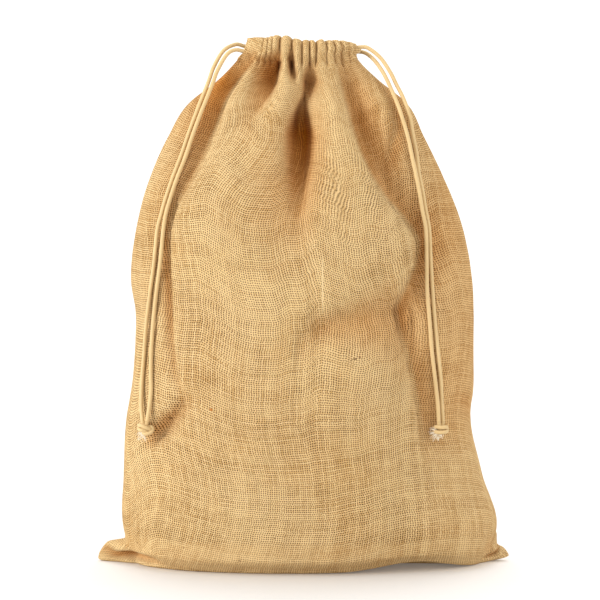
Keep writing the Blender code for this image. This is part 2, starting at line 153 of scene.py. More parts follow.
def soft_noise(
    u: np.ndarray,
    v: np.ndarray,
    grain: float,
    seed: int,
    waves: int = 14,
    sizes: tuple[float, float] = (0.75, 1.5),
    crest: float = 1.2,
) -> np.ndarray:
    """Smooth bumps between about -1 and 1 over a sheet.

    Args:
        u: places across the sheet, in metres.
        v: places up the sheet, in metres.
        grain: the size of a bump, in metres.
        seed: picks the pattern.
        waves: how many waves are added up.
        sizes: the least and the greatest length of a wave, as shares of the bump's size.
        crest: brings the highest bumps down to about 1.

    Returns:
        The height of the bumps at each place.
    """
    draws = np.random.default_rng(seed)
    total = np.zeros_like(u)
    for _ in range(waves):
        heading = draws.uniform(0.0, 2 * math.pi)
        size = grain * draws.uniform(*sizes)
        shift = draws.uniform(0.0, 2 * math.pi)
        total += np.sin((u * math.cos(heading) + v * math.sin(heading)) * math.pi / size + shift)
    return total / math.sqrt(waves) / crest


def smooth_rows(values: np.ndarray, reach: int) -> np.ndarray:
    """A running mean down each column.

    Args:
        values: the table.
        reach: how many rows to either side count.

    Returns:
        The smoothed table.
    """
    total = running(np.pad(values, ((reach, reach), (0, 0)), mode="edge"))
    width = 2 * reach + 1
    return (total[width:] - total[:-width]) / width


def quads(ids: np.ndarray) -> np.ndarray:
    """Makes the faces of a grid.

    Args:
        ids: the numbers of its points.

    Returns:
        The four corners of each cell, row by row.
    """
    low, high = ids[:-1], ids[1:]
    corners = np.stack([low[:, :-1], low[:, 1:], high[:, 1:], high[:, :-1]], axis=2)
    return corners.reshape(-1, 4)


def numbered(grid: np.ndarray) -> np.ndarray:
    """The numbers of a grid's points."""
    return np.arange(grid.shape[0] * grid.shape[1]).reshape(grid.shape[:2])


def linked(name: str, data: bpy.types.ID) -> bpy.types.Object:
    """Puts a new object in the scene, at the origin.

    Args:
        name: its name.
        data: its mesh, light or camera.

    Returns:
        The object.
    """
    piece = bpy.data.objects.new(name, data)
    bpy.context.scene.collection.objects.link(piece)
    return piece


def mapped(
    name: str, points: np.ndarray, faces: list[list[int]], layer: str, flat: np.ndarray
) -> bpy.types.Object:
    """A smooth piece with a map.

    Args:
        name: the piece's name.
        points: its points.
        faces: the numbers of each face's points.
        layer: the map's name.
        flat: the place on the map of each corner of each face.

    Returns:
        The piece.
    """
    mesh = bpy.data.meshes.new(name)
    mesh.from_pydata(points.tolist(), [], faces)
    mesh.uv_layers.new(name=layer).data.foreach_set("uv", flat.reshape(-1))
    mesh.shade_smooth()
    return linked(name, mesh)


# ---------------------------------------------------------------- shape of the sack


@dataclass(frozen=True)
class Fold:
    """A trough, or where its depth is negative a ridge, along a line on the wall. Each point of the
    line is its place across and its height, with the fold's depth and share of its reach there."""

    left_reach: float
    right_reach: float
    line: tuple[tuple[float, float, float, float], ...]
    power: float
    level: bool


@dataclass(frozen=True)
class Slit:
    """A gap between two gathers: its place in the mouth, the height where it dies out, how deep it
    is and how far the top edge dips there."""

    across: float
    foot: float
    depth: float
    notch: float = 0.0010


@dataclass(frozen=True)
class CasingRow:
    """A row of a casing: its share of the way up, its distance outwards from the cords' line, how
    much of the gathers it has, how far its ends reach past the casing's own, and the least distance
    outwards that leaves room for the cords."""

    share: float
    outward: float
    swing: float
    left: float = -0.0048
    right: float = -0.0060
    room: float = 0.0029


def in_metres(*rows: tuple[int, ...]) -> tuple[tuple[float, ...], ...]:
    """Rows of sizes in tenths of a millimetre, turned into metres."""
    return tuple(tuple(size / TENTHS for size in row) for row in rows)


def fold(
    left: float,
    right: float,
    *points: tuple[float, ...],
    power: float = 2.0,
    level: bool = False,
) -> Fold:
    """A fold from points of place across, height and depth, in millimetres, and, where it is not
    1, the share of its reach there.

    Args:
        left: how far it reaches to the left of its line, or below a level one.
        right: how far it reaches to the right, or above a level one.
        points: its line.
        power: 2 for a soft trough, towards 1 for a crisp crease, more for steep sides.
        level: whether the line runs more across than up.

    Returns:
        The fold, in metres.
    """
    line = tuple((x * MM, z * MM, depth * MM, *(share or [1.0])) for x, z, depth, *share in points)
    return Fold(left * MM, right * MM, line, power, level)


# A height, and there the places of the left side, the right side, the front and the back.
SECTIONS = in_metres(
    (0, -1500, 1600, 800, 780), (300, -1600, 1722, 850, 835), (800, -1600, 1590, 876, 868),
    (1300, -1570, 1490, 885, 885), (1540, -1530, 1510, 885, 885), (2000, -1490, 1510, 876, 872),
    (2250, -1490, 1510, 866, 860), (2500, -1530, 1500, 850, 840), (3000, -1480, 1410, 790, 780),
    (3470, -1350, 1230, 685, 670), (3800, -1200, 1070, 560, 550), (4100, -1010, 910, 400, 400),
    (4300, -755, 665, 250, 250), (4460, -600, 500, 125, 125), (4800, -400, 360, 120, 120),
)

# The corners' reach: height and place across, for the left ear and the right one.
LEFT_EAR = in_metres(
    (0, -1815), (22, -1848), (76, -1836), (131, -1800), (168, -1762), (176, -1740), (184, -1600),
    (270, -1585),
)
RIGHT_EAR = in_metres(
    (0, 1700), (22, 1766), (34, 1838), (50, 1850), (76, 1833), (104, 1812), (128, 1782),
    (142, 1740), (270, 1728),
)
EAR_TOP = LEFT_EAR[-1][0]

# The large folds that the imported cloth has, then the finer ones that only show here.
FRONT_FOLDS = {
    "centre pocket": fold(13, 15, (4, 442, 2), (3, 420, 14), (-2, 395, 21), (-3, 370, 14),
        (-2, 325, 3)),
    "left flank": fold(36, 12, (-50, 446, 2), (-74, 424, 8), (-90, 388, 13), (-108, 345, 10),
        (-124, 300, 6), (-128, 240, 4)),
    "left hollow": fold(14, 12, (-24, 446, 2), (-32, 430, 8), (-40, 405, 2)),
    "right flank": fold(10, 34, (32, 440, 3), (44, 410, 8), (60, 372, 13), (82, 336, 14),
        (104, 302, 13), (108, 272, 11), (98, 242, 6)),
    "valley": fold(14, 30, (86, 234, 6), (94, 205, 11), (104, 165, 12), (110, 120, 7),
        (112, 95, 2)),
    "valley foot": fold(34, 30, (108, 110, 2), (104, 60, 3), (100, 0, 7)),
    "slant trough": fold(20, 12, (0, 208, 0.5), (18, 222, 2), (50, 230, 2), (80, 232, 4)),
    "knot dent": fold(14, 22, (-112, 140, 3), (-122, 128, 9), (-136, 116, 3)),
}
FRONT_CREASES = {
    "pocket": fold(11, 10, (0.5, 421, 2, 0.12), (-0.5, 411, 10, 0.35), (-2, 399, 19, 0.7),
        (-2.5, 384, 24, 1.15), (-3, 368, 19, 1.1), (-3.5, 352, 11, 0.9), (-4, 334, 6, 0.7),
        (-6, 312, 1, 0.6), power=3.8),
    "pocket side": fold(5, 15, (4, 412, 1), (5, 398, 4), (5, 380, 7), (3, 360, 5), (0, 340, 1)),
    "pocket tail": fold(34, 16, (-4, 370, 3), (-5, 345, 9), (-6, 315, 7), (-8, 280, 1)),
    "upper hollow": fold(5, 9, (6, 448, 1, 0.5), (5, 438, 9, 0.8), (4.5, 429, 16),
        (3.5, 421, 11, 0.8), (2, 413, 4, 0.5), power=2.6),
    "slit by the middle": fold(3.2, 3.6, (-10.5, 456, 1), (-11, 450, 9), (-10.5, 442, 14),
        (-9.5, 434, 9), (-9, 428, 1), power=2.6),
    "left hollow": fold(19, 3, (-19.5, 456, 1, 0.4), (-20.5, 450, 10, 0.6), (-22, 444, 20),
        (-24.5, 437, 23), (-26, 429, 22), (-30, 420, 16), (-37, 410, 9), (-45, 400, 3)),
    "left shoulder": fold(13, 8, (-60, 446, 3, 0.6), (-70, 436, 9), (-79, 423, 9), (-88, 404, 6),
        (-96, 382, 3)),
    "left lobe ridge": fold(7, 8, (-31, 458, -1), (-41, 444, -3), (-50, 432, -4), (-59, 418, -4),
        (-66, 404, -3.5), (-72, 385, -2)),
    "right lobe edge": fold(1.9, 18, (28, 454, 1), (33, 436, 5), (38.5, 414, 9), (44.5, 393, 12),
        (51.5, 371, 12), (61, 350, 12), (73, 331, 11), (87, 316, 10), (97, 304, 11), (103, 294, 11),
        (104.5, 284, 11), (101.5, 273, 11), (96, 259, 11), (89.5, 245, 10), (84, 232, 8)),
    "valley line": fold(2, 12, (83, 230, 5), (87, 215, 7.5), (94, 195, 8.5), (99.5, 172, 8.5),
        (103, 153, 8), (106, 135, 6), (107, 120, 2)),
    "brow": fold(26, 16, (96, 230, 0.5, 1.4), (86, 229, 4, 1.7), (74, 227.5, 8, 1.6),
        (56, 225.5, 9, 1.1), (35, 222.5, 8, 0.7), (12, 218, 6, 0.5), (0, 215, 1, 0.4), level=True),
    "brow side": fold(3, 30, (3, 216, 1), (-4, 206, 2.5), (-5.5, 194, 2.5), (-4.5, 176, 0.5)),
    "left lobe edge": fold(17, 2.4, (-37, 458, 1, 0.4), (-46, 446, 8, 0.6), (-56, 435, 17, 0.9),
        (-65, 423, 21), (-72, 410, 19), (-77, 397, 16), (-82, 384, 13), (-90, 364, 10),
        (-100, 344, 8), (-111, 327, 5), (-116, 318, 2)),
    "left crease": fold(6, 1.9, (-116, 322, 5), (-120.5, 300, 11), (-119.5, 275, 12),
        (-117.5, 250, 12), (-116, 228, 10), (-114.5, 201, 7), (-111, 175, 5), (-106, 158, 1)),
    "knot hollow": fold(6, 7, (-98, 160, 1), (-106, 148, 6), (-115, 138, 10), (-127, 126, 12),
        (-133, 118, 8), (-139, 108, 1)),
    "right streak": fold(5, 15, (36, 440, 2), (42, 419, 5), (50, 401, 6), (60, 380, 6),
        (72, 358, 4), (80, 345, 1)),
    "right shoulder": fold(4, 7, (66, 432, 2), (73, 424, 5), (81, 410, 9), (85, 392, 9),
        (82, 371, 8), (75, 352, 2)),
    "level dip": fold(5, 5, (-77, 270, 0.6), (-38, 271, 1.2), (-3, 271, 0.6), level=True),
    "right notch": fold(5, 5, (139, 152, 2), (144, 146, 5), (148, 139, 4)),
}
EAR_CREASES = {
    "left ear hollow": fold(5, 2.2, (-179, 12, 6), (-175, 12, 9), (-170, 9, 13), (-166, 7.6, 15),
        (-157, 9, 16), (-148, 9.8, 15), (-138, 9.2, 11), (-127, 7, 3), level=True),
    "left ear lip": fold(1.8, 4, (-176, 18, -1), (-171, 14.5, -3), (-166, 12, -4),
        (-158, 13.5, -4.5), (-148, 14.3, -4), (-136, 13.3, -2), (-124, 11, -0.5), level=True),
    "left ear foot": fold(2.2, 1.6, (-180, 2, -2), (-165, 2, -5), (-150, 2, -5), (-138, 2, -3),
        (-126, 2, -1), level=True),
    "right ear root": fold(1.4, 1.5, (175, 15, 4), (174, 11.5, 10), (172, 8.5, 12), (169, 6.6, 12),
        (164, 5.6, 7), (158, 5, 1)),
    "right corner": fold(5, 4, (167, 26, 2), (165.5, 17, 5), (166, 10, 5)),
}
BACK_FOLDS = {
    "centre pocket": fold(14, 16, (-6, 440, 3), (-4, 412, 16), (2, 380, 15), (6, 325, 3)),
    "flank by the fold": fold(34, 12, (-48, 440, 3), (-70, 402, 10), (-94, 350, 11),
        (-106, 290, 4)),
    "flank by the seam": fold(12, 34, (42, 440, 3), (62, 400, 11), (80, 350, 12), (92, 290, 5),
        (88, 250, 2)),
    "low crease": fold(20, 24, (-90, 210, 3), (-50, 190, 7), (10, 182, 3)),
}

# The slits between the gathers, from left to right.
SLITS = {
    Side.FRONT: in_metres(
        (-365, 4400, 36, 12), (-325, 4400, 46, 14), (-285, 4400, 36, 20), (-218, 4320, 82, 66),
        (-104, 4300, 86, 34), (-12, 4370, 66, 22), (57, 4370, 70, 24), (112, 4400, 60, 34),
        (213, 4400, 42, 72), (286, 4400, 42, 40), (351, 4380, 70, 34), (430, 4400, 36, 12),
    ),
    Side.BACK: in_metres(
        (-440, 4260, 50), (-370, 4180, 56, 20), (-305, 4320, 42), (-240, 4110, 60, 34),
        (-165, 4280, 46), (-105, 4160, 58), (-30, 4300, 44, 26), (35, 4060, 62), (110, 4260, 48),
        (180, 4200, 54, 36), (240, 4320, 42), (310, 4120, 58), (385, 4260, 50, 22), (445, 4220, 46),
    ),
}
# The top of the gathered mouth: place across and height.
CRESTS = {
    Side.FRONT: in_metres(
        (-500, 4668), (-460, 4674), (-350, 4672), (-310, 4682), (-262, 4694), (-200, 4690),
        (-150, 4690), (-120, 4682), (-60, 4662), (13, 4652), (67, 4656), (120, 4638), (174, 4660),
        (236, 4648), (306, 4652), (385, 4646), (450, 4636), (500, 4618),
    ),
    Side.BACK: in_metres(
        (-500, 4612), (-400, 4618), (-270, 4630), (-140, 4626), (-10, 4614), (120, 4616),
        (260, 4612), (400, 4614), (510, 4604),
    ),
}
# The rows of a casing, from just above the stitch line up its outer wall, over and down inside.
CASING_ROWS = (
    CasingRow(0.16, 0.0094, 1.0, 0.0045, -0.0030, -0.0030),
    CasingRow(0.42, 0.0088, 1.0, -0.0005, -0.0042, 0.0020),
    CasingRow(0.70, 0.0080, 1.0, -0.0021, -0.0013),
    CasingRow(0.90, 0.0062, 0.9, -0.0036, -0.0040),
    CasingRow(1.00, 0.0018, 0.6),
    CasingRow(0.90, -0.0040, 0.4),
    CasingRow(0.45, -0.0054, 0.4),
    CasingRow(0.22, -0.0042, 0.4),
)


def wall_at(height: float) -> np.ndarray:
    """Reads the sections at a height, on a smooth curve through them.

    Args:
        height: the height wanted.

    Returns:
        The places of the left side, the right side, the front and the back there.
    """
    heights, values = np.array(SECTIONS)[:, 0], np.array(SECTIONS)[:, 1:]
    slopes = np.gradient(values, heights, axis=0)
    height = min(max(height, heights[0]), heights[-1])
    low = int(np.clip(np.searchsorted(heights, height) - 1, 0, len(heights) - 2))
    span = heights[low + 1] - heights[low]
    t = (height - heights[low]) / span
    from_low = (2 * t**3 - 3 * t**2 + 1) * values[low] + (t**3 - 2 * t**2 + t) * span * slopes[low]
    from_high = (3 * t**2 - 2 * t**3) * values[low + 1] + (t**3 - t**2) * span * slopes[low + 1]
    return from_low + from_high


def fold_depth(folds: dict[str, Fold], x: np.ndarray, height: float) -> np.ndarray:
    """How far folds push the wall in.

    Args:
        folds: the folds.
        x: places across.
        height: the height of the row.

    Returns:
        The push at each place, inwards.
    """
    total = np.zeros_like(x)
    for each in folds.values():
        nearest = np.full_like(x, np.inf)
        push = np.zeros_like(x)
        for (x0, z0, depth, share), end in zip(each.line[:-1], each.line[1:]):
            run = np.array([end[0] - x0, end[1] - z0])
            along = ((x - x0) * run[0] + (height - z0) * run[1]) / run.dot(run)
            along = along.clip(0.0, 1.0)
            off_x, off_z = x - x0 - along * run[0], height - z0 - along * run[1]
            away = np.hypot(off_x, off_z)
            beside = off_z if each.level else off_x
            reach = np.where(beside < 0, each.left_reach, each.right_reach)
            reach = reach * (share + (end[3] - share) * along)
            depth = depth + (end[2] - depth) * along
            value = depth * np.exp(-((away / reach) ** each.power))
            closer = away < nearest
            push = np.where(closer, value, push)
            nearest = np.where(closer, away, nearest)
        total += push
    return total


@dataclass
class SackCloth:
    """The sack itself: two panels of jute, each from the bottom seam to its turned-in top edge.

    The columns, the row_scale and the ripple_seeds are the front panel's and the back one's. Where
    something changes, two sizes are where the change starts and where it is over, and a third one
    is how much it comes to.
    """

    cords: list[np.ndarray] = field(default_factory=list)
    side: Side = Side.FRONT
    thickness: float = 0.0013
    flat_width: float = 0.38
    flat_length: float = 0.60
    columns: tuple[int, int] = (240, 190)
    row_scale: tuple[float, float] = (1.0, 1.3)
    base_shares: tuple[float, ...] = (0.2, 0.4, 0.6, 0.78, 0.90, 0.97)
    wall_bands: tuple[tuple[float, float, float], ...] = (
        (0.0014, 0.0224, 0.0014),
        (0.0224, 0.0300, 0.0024),
        (0.0300, 0.3000, 0.0034),
        (0.3000, 0.4000, 0.0027),
        (0.4000, 0.4460, 0.0019),
    )
    # The wall. The lift has a height, a place across and a reach, and a ripple a height and a size.
    roundness: float = 2.25
    outline_steps: int = 241
    stitch_line: float = 0.446
    spread_foot: float = 0.330
    waist_fill: float = 0.0100
    waist_height: float = 0.013
    turn_under: float = 0.014
    tuck: float = 0.010
    base_draw: float = 0.03
    ear_share: float = 0.046
    ear_least: float = 0.35
    seam_groove: tuple[float, float, float] = (0.0009, 0.0005, 0.0002)
    ripple: tuple[tuple[float, float], ...] = ((0.00055, 0.034), (0.00028, 0.011))
    ripple_seeds: tuple[int, int] = (5, 15)
    lift: tuple[float, float, float] = (0.0078, 0.0990, 0.044)
    lift_end: float = 0.022
    lift_back: tuple[float, float] = (0.012, 0.050)
    # The gathers and the casing.
    end_gather: float = 0.004
    gather_round: float = 0.96
    gather_full: float = 0.8
    gather_sharp: float = 2.4
    roll: float = 0.55
    cord_line: float = 0.012
    cord_clearance: float = 0.0003
    cords_lie_below: float = 0.440
    casing_middle: float = -0.001
    casing_end: float = 0.052
    casing_front: float = 0.0010
    casing_steps: int = 3
    hem_end: float = 0.043
    hem_share: float = 0.6
    hem_back: float = 1.15
    pinch: float = 0.905
    crest_rise: float = 0.021
    end_fan: float = 1.7
    end_close: float = 0.7
    # The threads' map, smoothed over rows and columns, where the cloth is dense, and the painted
    # shade.
    map_smoothing: tuple[int, int] = (7, 5)
    threads_even: tuple[float, float] = (0.06, 0.26)
    dense_foot: tuple[float, float] = (0.0265, 0.0290)
    dense_mouth: tuple[float, float, float] = (0.330, 0.420, 0.7)
    dense_right: tuple[float, float, float] = (0.085, 0.130, 0.9)
    dense_casing: float = 0.002
    uneven_row: float = 0.01075
    # Painted shade in the folds, the gathers and on the front's right side, from the folds' depths.
    shade_in_gathers: float = 0.8
    shade_in_folds: float = 0.16
    painted_right_side_shade: tuple[float, float, float] = (0.085, 0.135, 0.0052)
    painted_right_side_shade_above: tuple[float, float] = (0.08, 0.15)
    painted_shade_foot: float = 0.002
    painted_shade_depths: tuple[float, float] = (0.001, 0.0325)
    painted_shade_on_back: float = 0.6
    painted_shade_power: float = 0.8

    @property
    def at_back(self) -> int:
        """1 while the back panel is made, otherwise 0."""
        return int(self.side is Side.BACK)

    def shares(self) -> np.ndarray:
        """Places across one panel, from its left edge, 0, to its right edge, 1."""
        return np.linspace(0.0, 1.0, self.columns[self.at_back] + 1)

    def seam_fade(self) -> np.ndarray:
        """How free the cloth is across one panel: 0 at the seams and 1 in the middle."""
        return np.sin(math.pi * self.shares()).clip(0.0) ** 0.5

    def even_positions(self, half: float, depth: float) -> np.ndarray:
        """Places across the plain outline, from -1 to 1, that part its length evenly.

        Args:
            half: half the outline's width.
            depth: how far it stands out.

        Returns:
            The places.
        """
        turn = np.linspace(0.0, math.pi, self.outline_steps)
        x = -half * np.sign(np.cos(turn)) * np.abs(np.cos(turn)) ** (2 / self.roundness)
        y = depth * np.sin(turn).clip(0.0) ** (2 / self.roundness)
        length = running(np.hypot(np.diff(x), np.diff(y)))
        return np.interp(self.shares() * length[-1], length, x / half)

    def mouth_positions(self) -> np.ndarray:
        """Places across the gathered mouth, from -1 to 1."""
        return 2 * self.shares() - 1

    def mouth_places(self) -> np.ndarray:
        """The same places in metres."""
        return self.casing_middle + self.mouth_positions() * self.casing_end

    def gathers(self, height: float, notches: bool = False) -> np.ndarray:
        """How far the wall falls back from its round gathers into the slits between them.

        Args:
            height: the height; above the stitch line the slits keep their full depth.
            notches: whether the dips of the top edge are asked for instead.

        Returns:
            The depth in each column, inwards or, for the notches, down.
        """
        slits = [Slit(*row) for row in SLITS[self.side]]
        halves = [(end.across - start.across) / 2 for start, end in zip(slits[:-1], slits[1:])]
        places = self.mouth_places()
        total = np.zeros_like(places)
        for slit, before, after in zip(
            slits, [self.end_gather, *halves], [*halves, self.end_gather]
        ):
            off = places - slit.across
            reach = np.clip(1 - np.abs(off) / np.where(off < 0, before, after), 0.0, 1.0)
            side = (1 - np.sqrt(1 - self.gather_round * reach**2)) / self.gather_full
            side += (reach**self.gather_sharp - side) * self.roll
            fade = smooth_step(slit.foot, self.stitch_line, height)
            total += (slit.notch if notches else fade * slit.depth) * side
        return total

    def folds_at(self, x: np.ndarray, height: float) -> np.ndarray:
        """How far the folds and creases push the wall in.

        Args:
            x: places across.
            height: the row's height.

        Returns:
            The push at each place.
        """
        if self.at_back:
            push = fold_depth(BACK_FOLDS, x, height)
        else:
            push = fold_depth(FRONT_FOLDS, x, height) + fold_depth(FRONT_CREASES, x, height)
        for seed, (size, grain) in enumerate(self.ripple, self.ripple_seeds[self.at_back]):
            push += size * soft_noise(x, np.full_like(x, height), grain, seed)
        return push

    def wall_row(self, height: float) -> np.ndarray:
        """One row of the wall, from its left seam to its right one.

        Args:
            height: the row's height.

        Returns:
            Its points, an array of three columns.
        """
        shares, fade = self.shares(), self.seam_fade()
        left, right, *depths = wall_at(height)
        depth = depths[self.at_back]
        fill = self.waist_fill * math.exp(-(((height - self.stitch_line) / self.waist_height) ** 2))
        middle, half = (left + right) / 2, (right - left) / 2
        even = self.even_positions(half, depth)
        spread = smooth_step(self.spread_foot, self.stitch_line, height)
        across = even + (self.mouth_positions() - even) * spread
        aside, way = np.abs(across), np.sign(across)
        outward = (1 - aside.clip(0, 1) ** self.roundness) ** (1 / self.roundness)
        normal_x = way * aside ** (self.roundness - 1) / half
        normal_y = outward ** (self.roundness - 1) / depth
        size = np.hypot(normal_x, normal_y)
        middle += (self.casing_middle - middle) * spread
        side_half = np.where(across < 0, middle - left, right - middle)
        fan = aside * self.casing_end + (side_half - self.casing_end) * aside**self.end_fan
        x = middle + across * side_half * (1 - spread) + way * fan * spread
        y = (depth + fill) * outward
        push = (self.folds_at(x, height) + self.gathers(height)) * fade
        x, y = x - normal_x / size * push, y - normal_y / size * push
        y -= self.tuck * (1 - smooth_step(0.0, self.turn_under, height)) * fade
        if height < EAR_TOP:
            x = self.ear_reach(x, height)
            inside = shares * (1 - shares) > 0
            y = np.maximum(y - fold_depth(EAR_CREASES, x, height) * inside, y * self.ear_least)
        for column, groove in enumerate(self.seam_groove):
            x[column] += groove
            x[-1 - column] -= groove
        z = np.full_like(x, height)
        if self.side is Side.FRONT:
            z += self.rise(x, y) * (1 - smooth_step(0.0, self.lift_end, z))
        return np.column_stack([x, self.side.value * y, z])

    def rise(self, x: np.ndarray, forward: np.ndarray) -> np.ndarray:
        """How far the cloth near the front's foot is lifted off the floor.

        Args:
            x: places across.
            forward: how far in front of the seams they are.

        Returns:
            The lift at each place.
        """
        height, across, reach = self.lift
        bump = height * np.exp(-(((x - across) / reach) ** 2))
        return bump * smooth_step(*self.lift_back, forward)

    def ear_reach(self, x: np.ndarray, height: float) -> np.ndarray:
        """Draws the corners out to the ears.

        Args:
            x: places across.
            height: the row's height.

        Returns:
            The places with the ears.
        """
        shares = self.shares()
        share = np.clip(1 - np.minimum(shares, 1 - shares) / self.ear_share, 0.0, 1.0)
        left, right = (np.interp(height, *np.array(ear).T) for ear in (LEFT_EAR, RIGHT_EAR))
        return x + (np.where(shares < 0.5, left, right) - x) * share

    def base_row(self, share: float, edge: np.ndarray) -> np.ndarray:
        """A row of the part under the sack.

        Args:
            share: its share of the way from the bottom seam to the edge of the base.
            edge: the row at that edge.

        Returns:
            Its points.
        """
        x = edge[:, 0] * (1 - self.base_draw * (1 - share))
        y = edge[:, 1] * share
        return np.column_stack([x, y, self.thickness / 2 + self.rise(x, -y)])

    def casing_rows(self, stitch: np.ndarray) -> list[np.ndarray]:
        """The rows of a casing above the stitch line.

        Args:
            stitch: the wall's last row.

        Returns:
            The rows, in order up the outer wall, over the top and down inside.
        """
        across, mouth, fade = self.mouth_positions(), self.mouth_places(), self.seam_fade()
        tops = np.interp(mouth, *np.array(CRESTS[self.side]).T)
        tops = tops - self.gathers(self.stitch_line, notches=True)
        line = self.cord_line * np.sqrt(1 - (across * self.pinch) ** 2)
        stations = [stitch]
        for row in CASING_ROWS:
            end = self.casing_end if row.outward >= 0 else self.hem_end
            x = self.casing_middle + across * end
            x += row.right * across.clip(0, 1) ** self.end_fan
            x -= row.left * (-across).clip(0, 1) ** self.end_fan
            height = self.stitch_line + self.crest_rise * row.share
            push = (self.gathers(self.stitch_line) + self.folds_at(mouth, height)) * fade
            ends = 1 - self.end_close * np.abs(across) ** 3 * (row.outward > 0)
            outward = row.outward * ends + (self.casing_front * ends - push) * row.swing
            if row.outward > row.room:
                outward = np.maximum(outward, row.room)
            top = self.stitch_line + (tops - self.stitch_line) * row.share
            stations.append(np.column_stack([x, self.side.value * (line + outward), top]))
        hem = stations[0] * (1 - self.hem_share) + stations[1] * self.hem_share
        hem[:, 1] -= self.side.value * self.thickness * self.hem_back * fade
        stations = np.array([stitch, *stations, hem, hem])
        steps = [step / self.casing_steps for step in range(1, self.casing_steps + 1)]
        fours = zip(stations[:-3], stations[1:-2], stations[2:-1], stations[3:])
        return [catmull(*four, step) for four in fours for step in steps]

    def grid(self) -> np.ndarray:
        """Lays out one panel's middle layer, from the bottom seam to the hem inside the mouth.

        Returns:
            Its points, by row and column.
        """
        edge = self.wall_row(0.0)
        rows = [self.base_row(share, edge) for share in (0.0, *self.base_shares)]
        for low, high, step in self.wall_bands:
            count = max(1, round((high - low) / (step * self.row_scale[self.at_back])))
            rows += [self.wall_row(h) for h in np.linspace(low, high, count, endpoint=False)]
        rows.append(self.wall_row(self.stitch_line))
        rows += self.casing_rows(rows[-1])
        return np.array(rows)

    def clear_cords(self, grid: np.ndarray) -> None:
        """Presses the front in where a hanging cord lies on it.

        Args:
            grid: the front's points, changed in place.
        """
        least = self.thickness / 2 + CORD_DIAMETER / 2 + self.cord_clearance
        for cord in self.cords:
            near = (grid[:, :, 2] < self.cords_lie_below) & (grid[:, :, 1] < 0.0)
            near &= grid[:, :, 2] > cord[:, 2].min() - least
            near &= grid[:, :, 0] > cord[:, 0].min() - least
            near &= grid[:, :, 0] < cord[:, 0].max() + least
            points = grid[near]
            beside = np.hypot(*(points[:, None, axis] - cord[None, :, axis] for axis in (0, 2)))
            closest = beside.argmin(axis=1)
            aside = beside[np.arange(len(points)), closest]
            limit = cord[closest, 1] + np.sqrt(np.clip(least**2 - aside**2, 0.0, None))
            points[:, 1] = np.where(aside < least, np.maximum(points[:, 1], limit), points[:, 1])
            grid[near] = points

    def thread_map(self, grid: np.ndarray) -> np.ndarray:
        """Where each point is on the flat cloth, so that the threads follow the folds.

        Across, it is the distance along the row from the middle, widened a little towards the
        mouth. Up, it is the distance from the bottom edge low down and from the mouth high up.

        Args:
            grid: the panel's points.

        Returns:
            The places across and up the flat cloth, in metres, as the last axis of two.
        """
        u = running(np.linalg.norm(np.diff(grid, axis=1), axis=2).T).T
        width, middle = u[:, -1:], u.shape[1] // 2
        u = (u - u[:, middle : middle + 1]) * np.clip(self.flat_width / width, 1.0, None) ** 0.5
        u = smooth_rows(u, self.map_smoothing[0])
        v = running(np.linalg.norm(np.diff(grid, axis=0), axis=2))
        v = smooth_rows((v - v[len(self.base_shares) + 1]).T, self.map_smoothing[1]).T
        from_top = v + (v[-1].mean() - v[-1])
        v = v + (from_top - v) * smooth_step(*self.threads_even, grid[:, :, 2])
        return np.stack([u + self.flat_width / 2 + self.flat_width * self.at_back, v], axis=2)

    def doubled(self, grid: np.ndarray) -> np.ndarray:
        """Where the cloth lies double: 1 in the casing and over the bottom seam's allowance, and
        less where its threads only close up, towards the mouth and round the right side.

        Args:
            grid: the panel's points.

        Returns:
            The share at each point.
        """
        across, height = grid[:, :, 0], grid[:, :, 2]
        closed = 1 - smooth_step(*self.dense_foot, height)
        for (start, end, most), places in ((self.dense_mouth, height), (self.dense_right, across)):
            closed = np.maximum(closed, most * smooth_step(start, end, places))
        foot = self.stitch_line - self.dense_casing
        return np.maximum(closed, smooth_step(foot, self.stitch_line, height))

    def painted_shade(self, grid: np.ndarray) -> np.ndarray:
        """Painted shade, from 0 to 1: darker, warmer colour in folds and on the front's right side.

        Args:
            grid: the panel's points.

        Returns:
            The share at each point.
        """
        deep = np.zeros(grid.shape[:2])
        start, end, most = self.painted_right_side_shade
        for row, points in enumerate(grid):
            x, z = points[:, 0], points[:, 2]
            height = float(z[len(points) // 2])
            if height > EAR_TOP and z.max() - z.min() < self.uneven_row:
                creases = BACK_FOLDS if self.at_back else FRONT_CREASES
                deep[row] = fold_depth(creases, x, height)
                deep[row] += self.gathers(height) * self.shade_in_gathers
                if not self.at_back:
                    deep[row] += fold_depth(FRONT_FOLDS, x, height) * self.shade_in_folds
                    # painted shade on the front's right side, which is turned away from the light
                    right_side_shade = smooth_step(start, end, x) * most
                    deep[row] += right_side_shade * smooth_step(*self.painted_right_side_shade_above, height)
            elif height > self.painted_shade_foot:
                deep[row] = fold_depth(EAR_CREASES, x, height)
        start, end = self.painted_shade_depths
        deep = (deep * (1 - self.painted_shade_on_back * self.at_back) - start) / (end - start)
        return deep.clip(0.0, 1.0) ** self.painted_shade_power

    def panel(self, side: Side) -> bpy.types.Object:
        """Makes one panel, with its threads' map.

        Args:
            side: the front or the back.

        Returns:
            The piece.
        """
        self.side = side
        grid = self.grid()
        faces = quads(numbered(grid))
        if side is Side.FRONT:
            self.clear_cords(grid)
        else:
            faces = faces[:, ::-1]
        flat = self.thread_map(grid).reshape(-1, 2)[faces.reshape(-1)]
        name = f"jute_{side.name.lower()}_panel"
        piece = mapped(name, grid.reshape(-1, 3), faces.tolist(), "threads", flat)
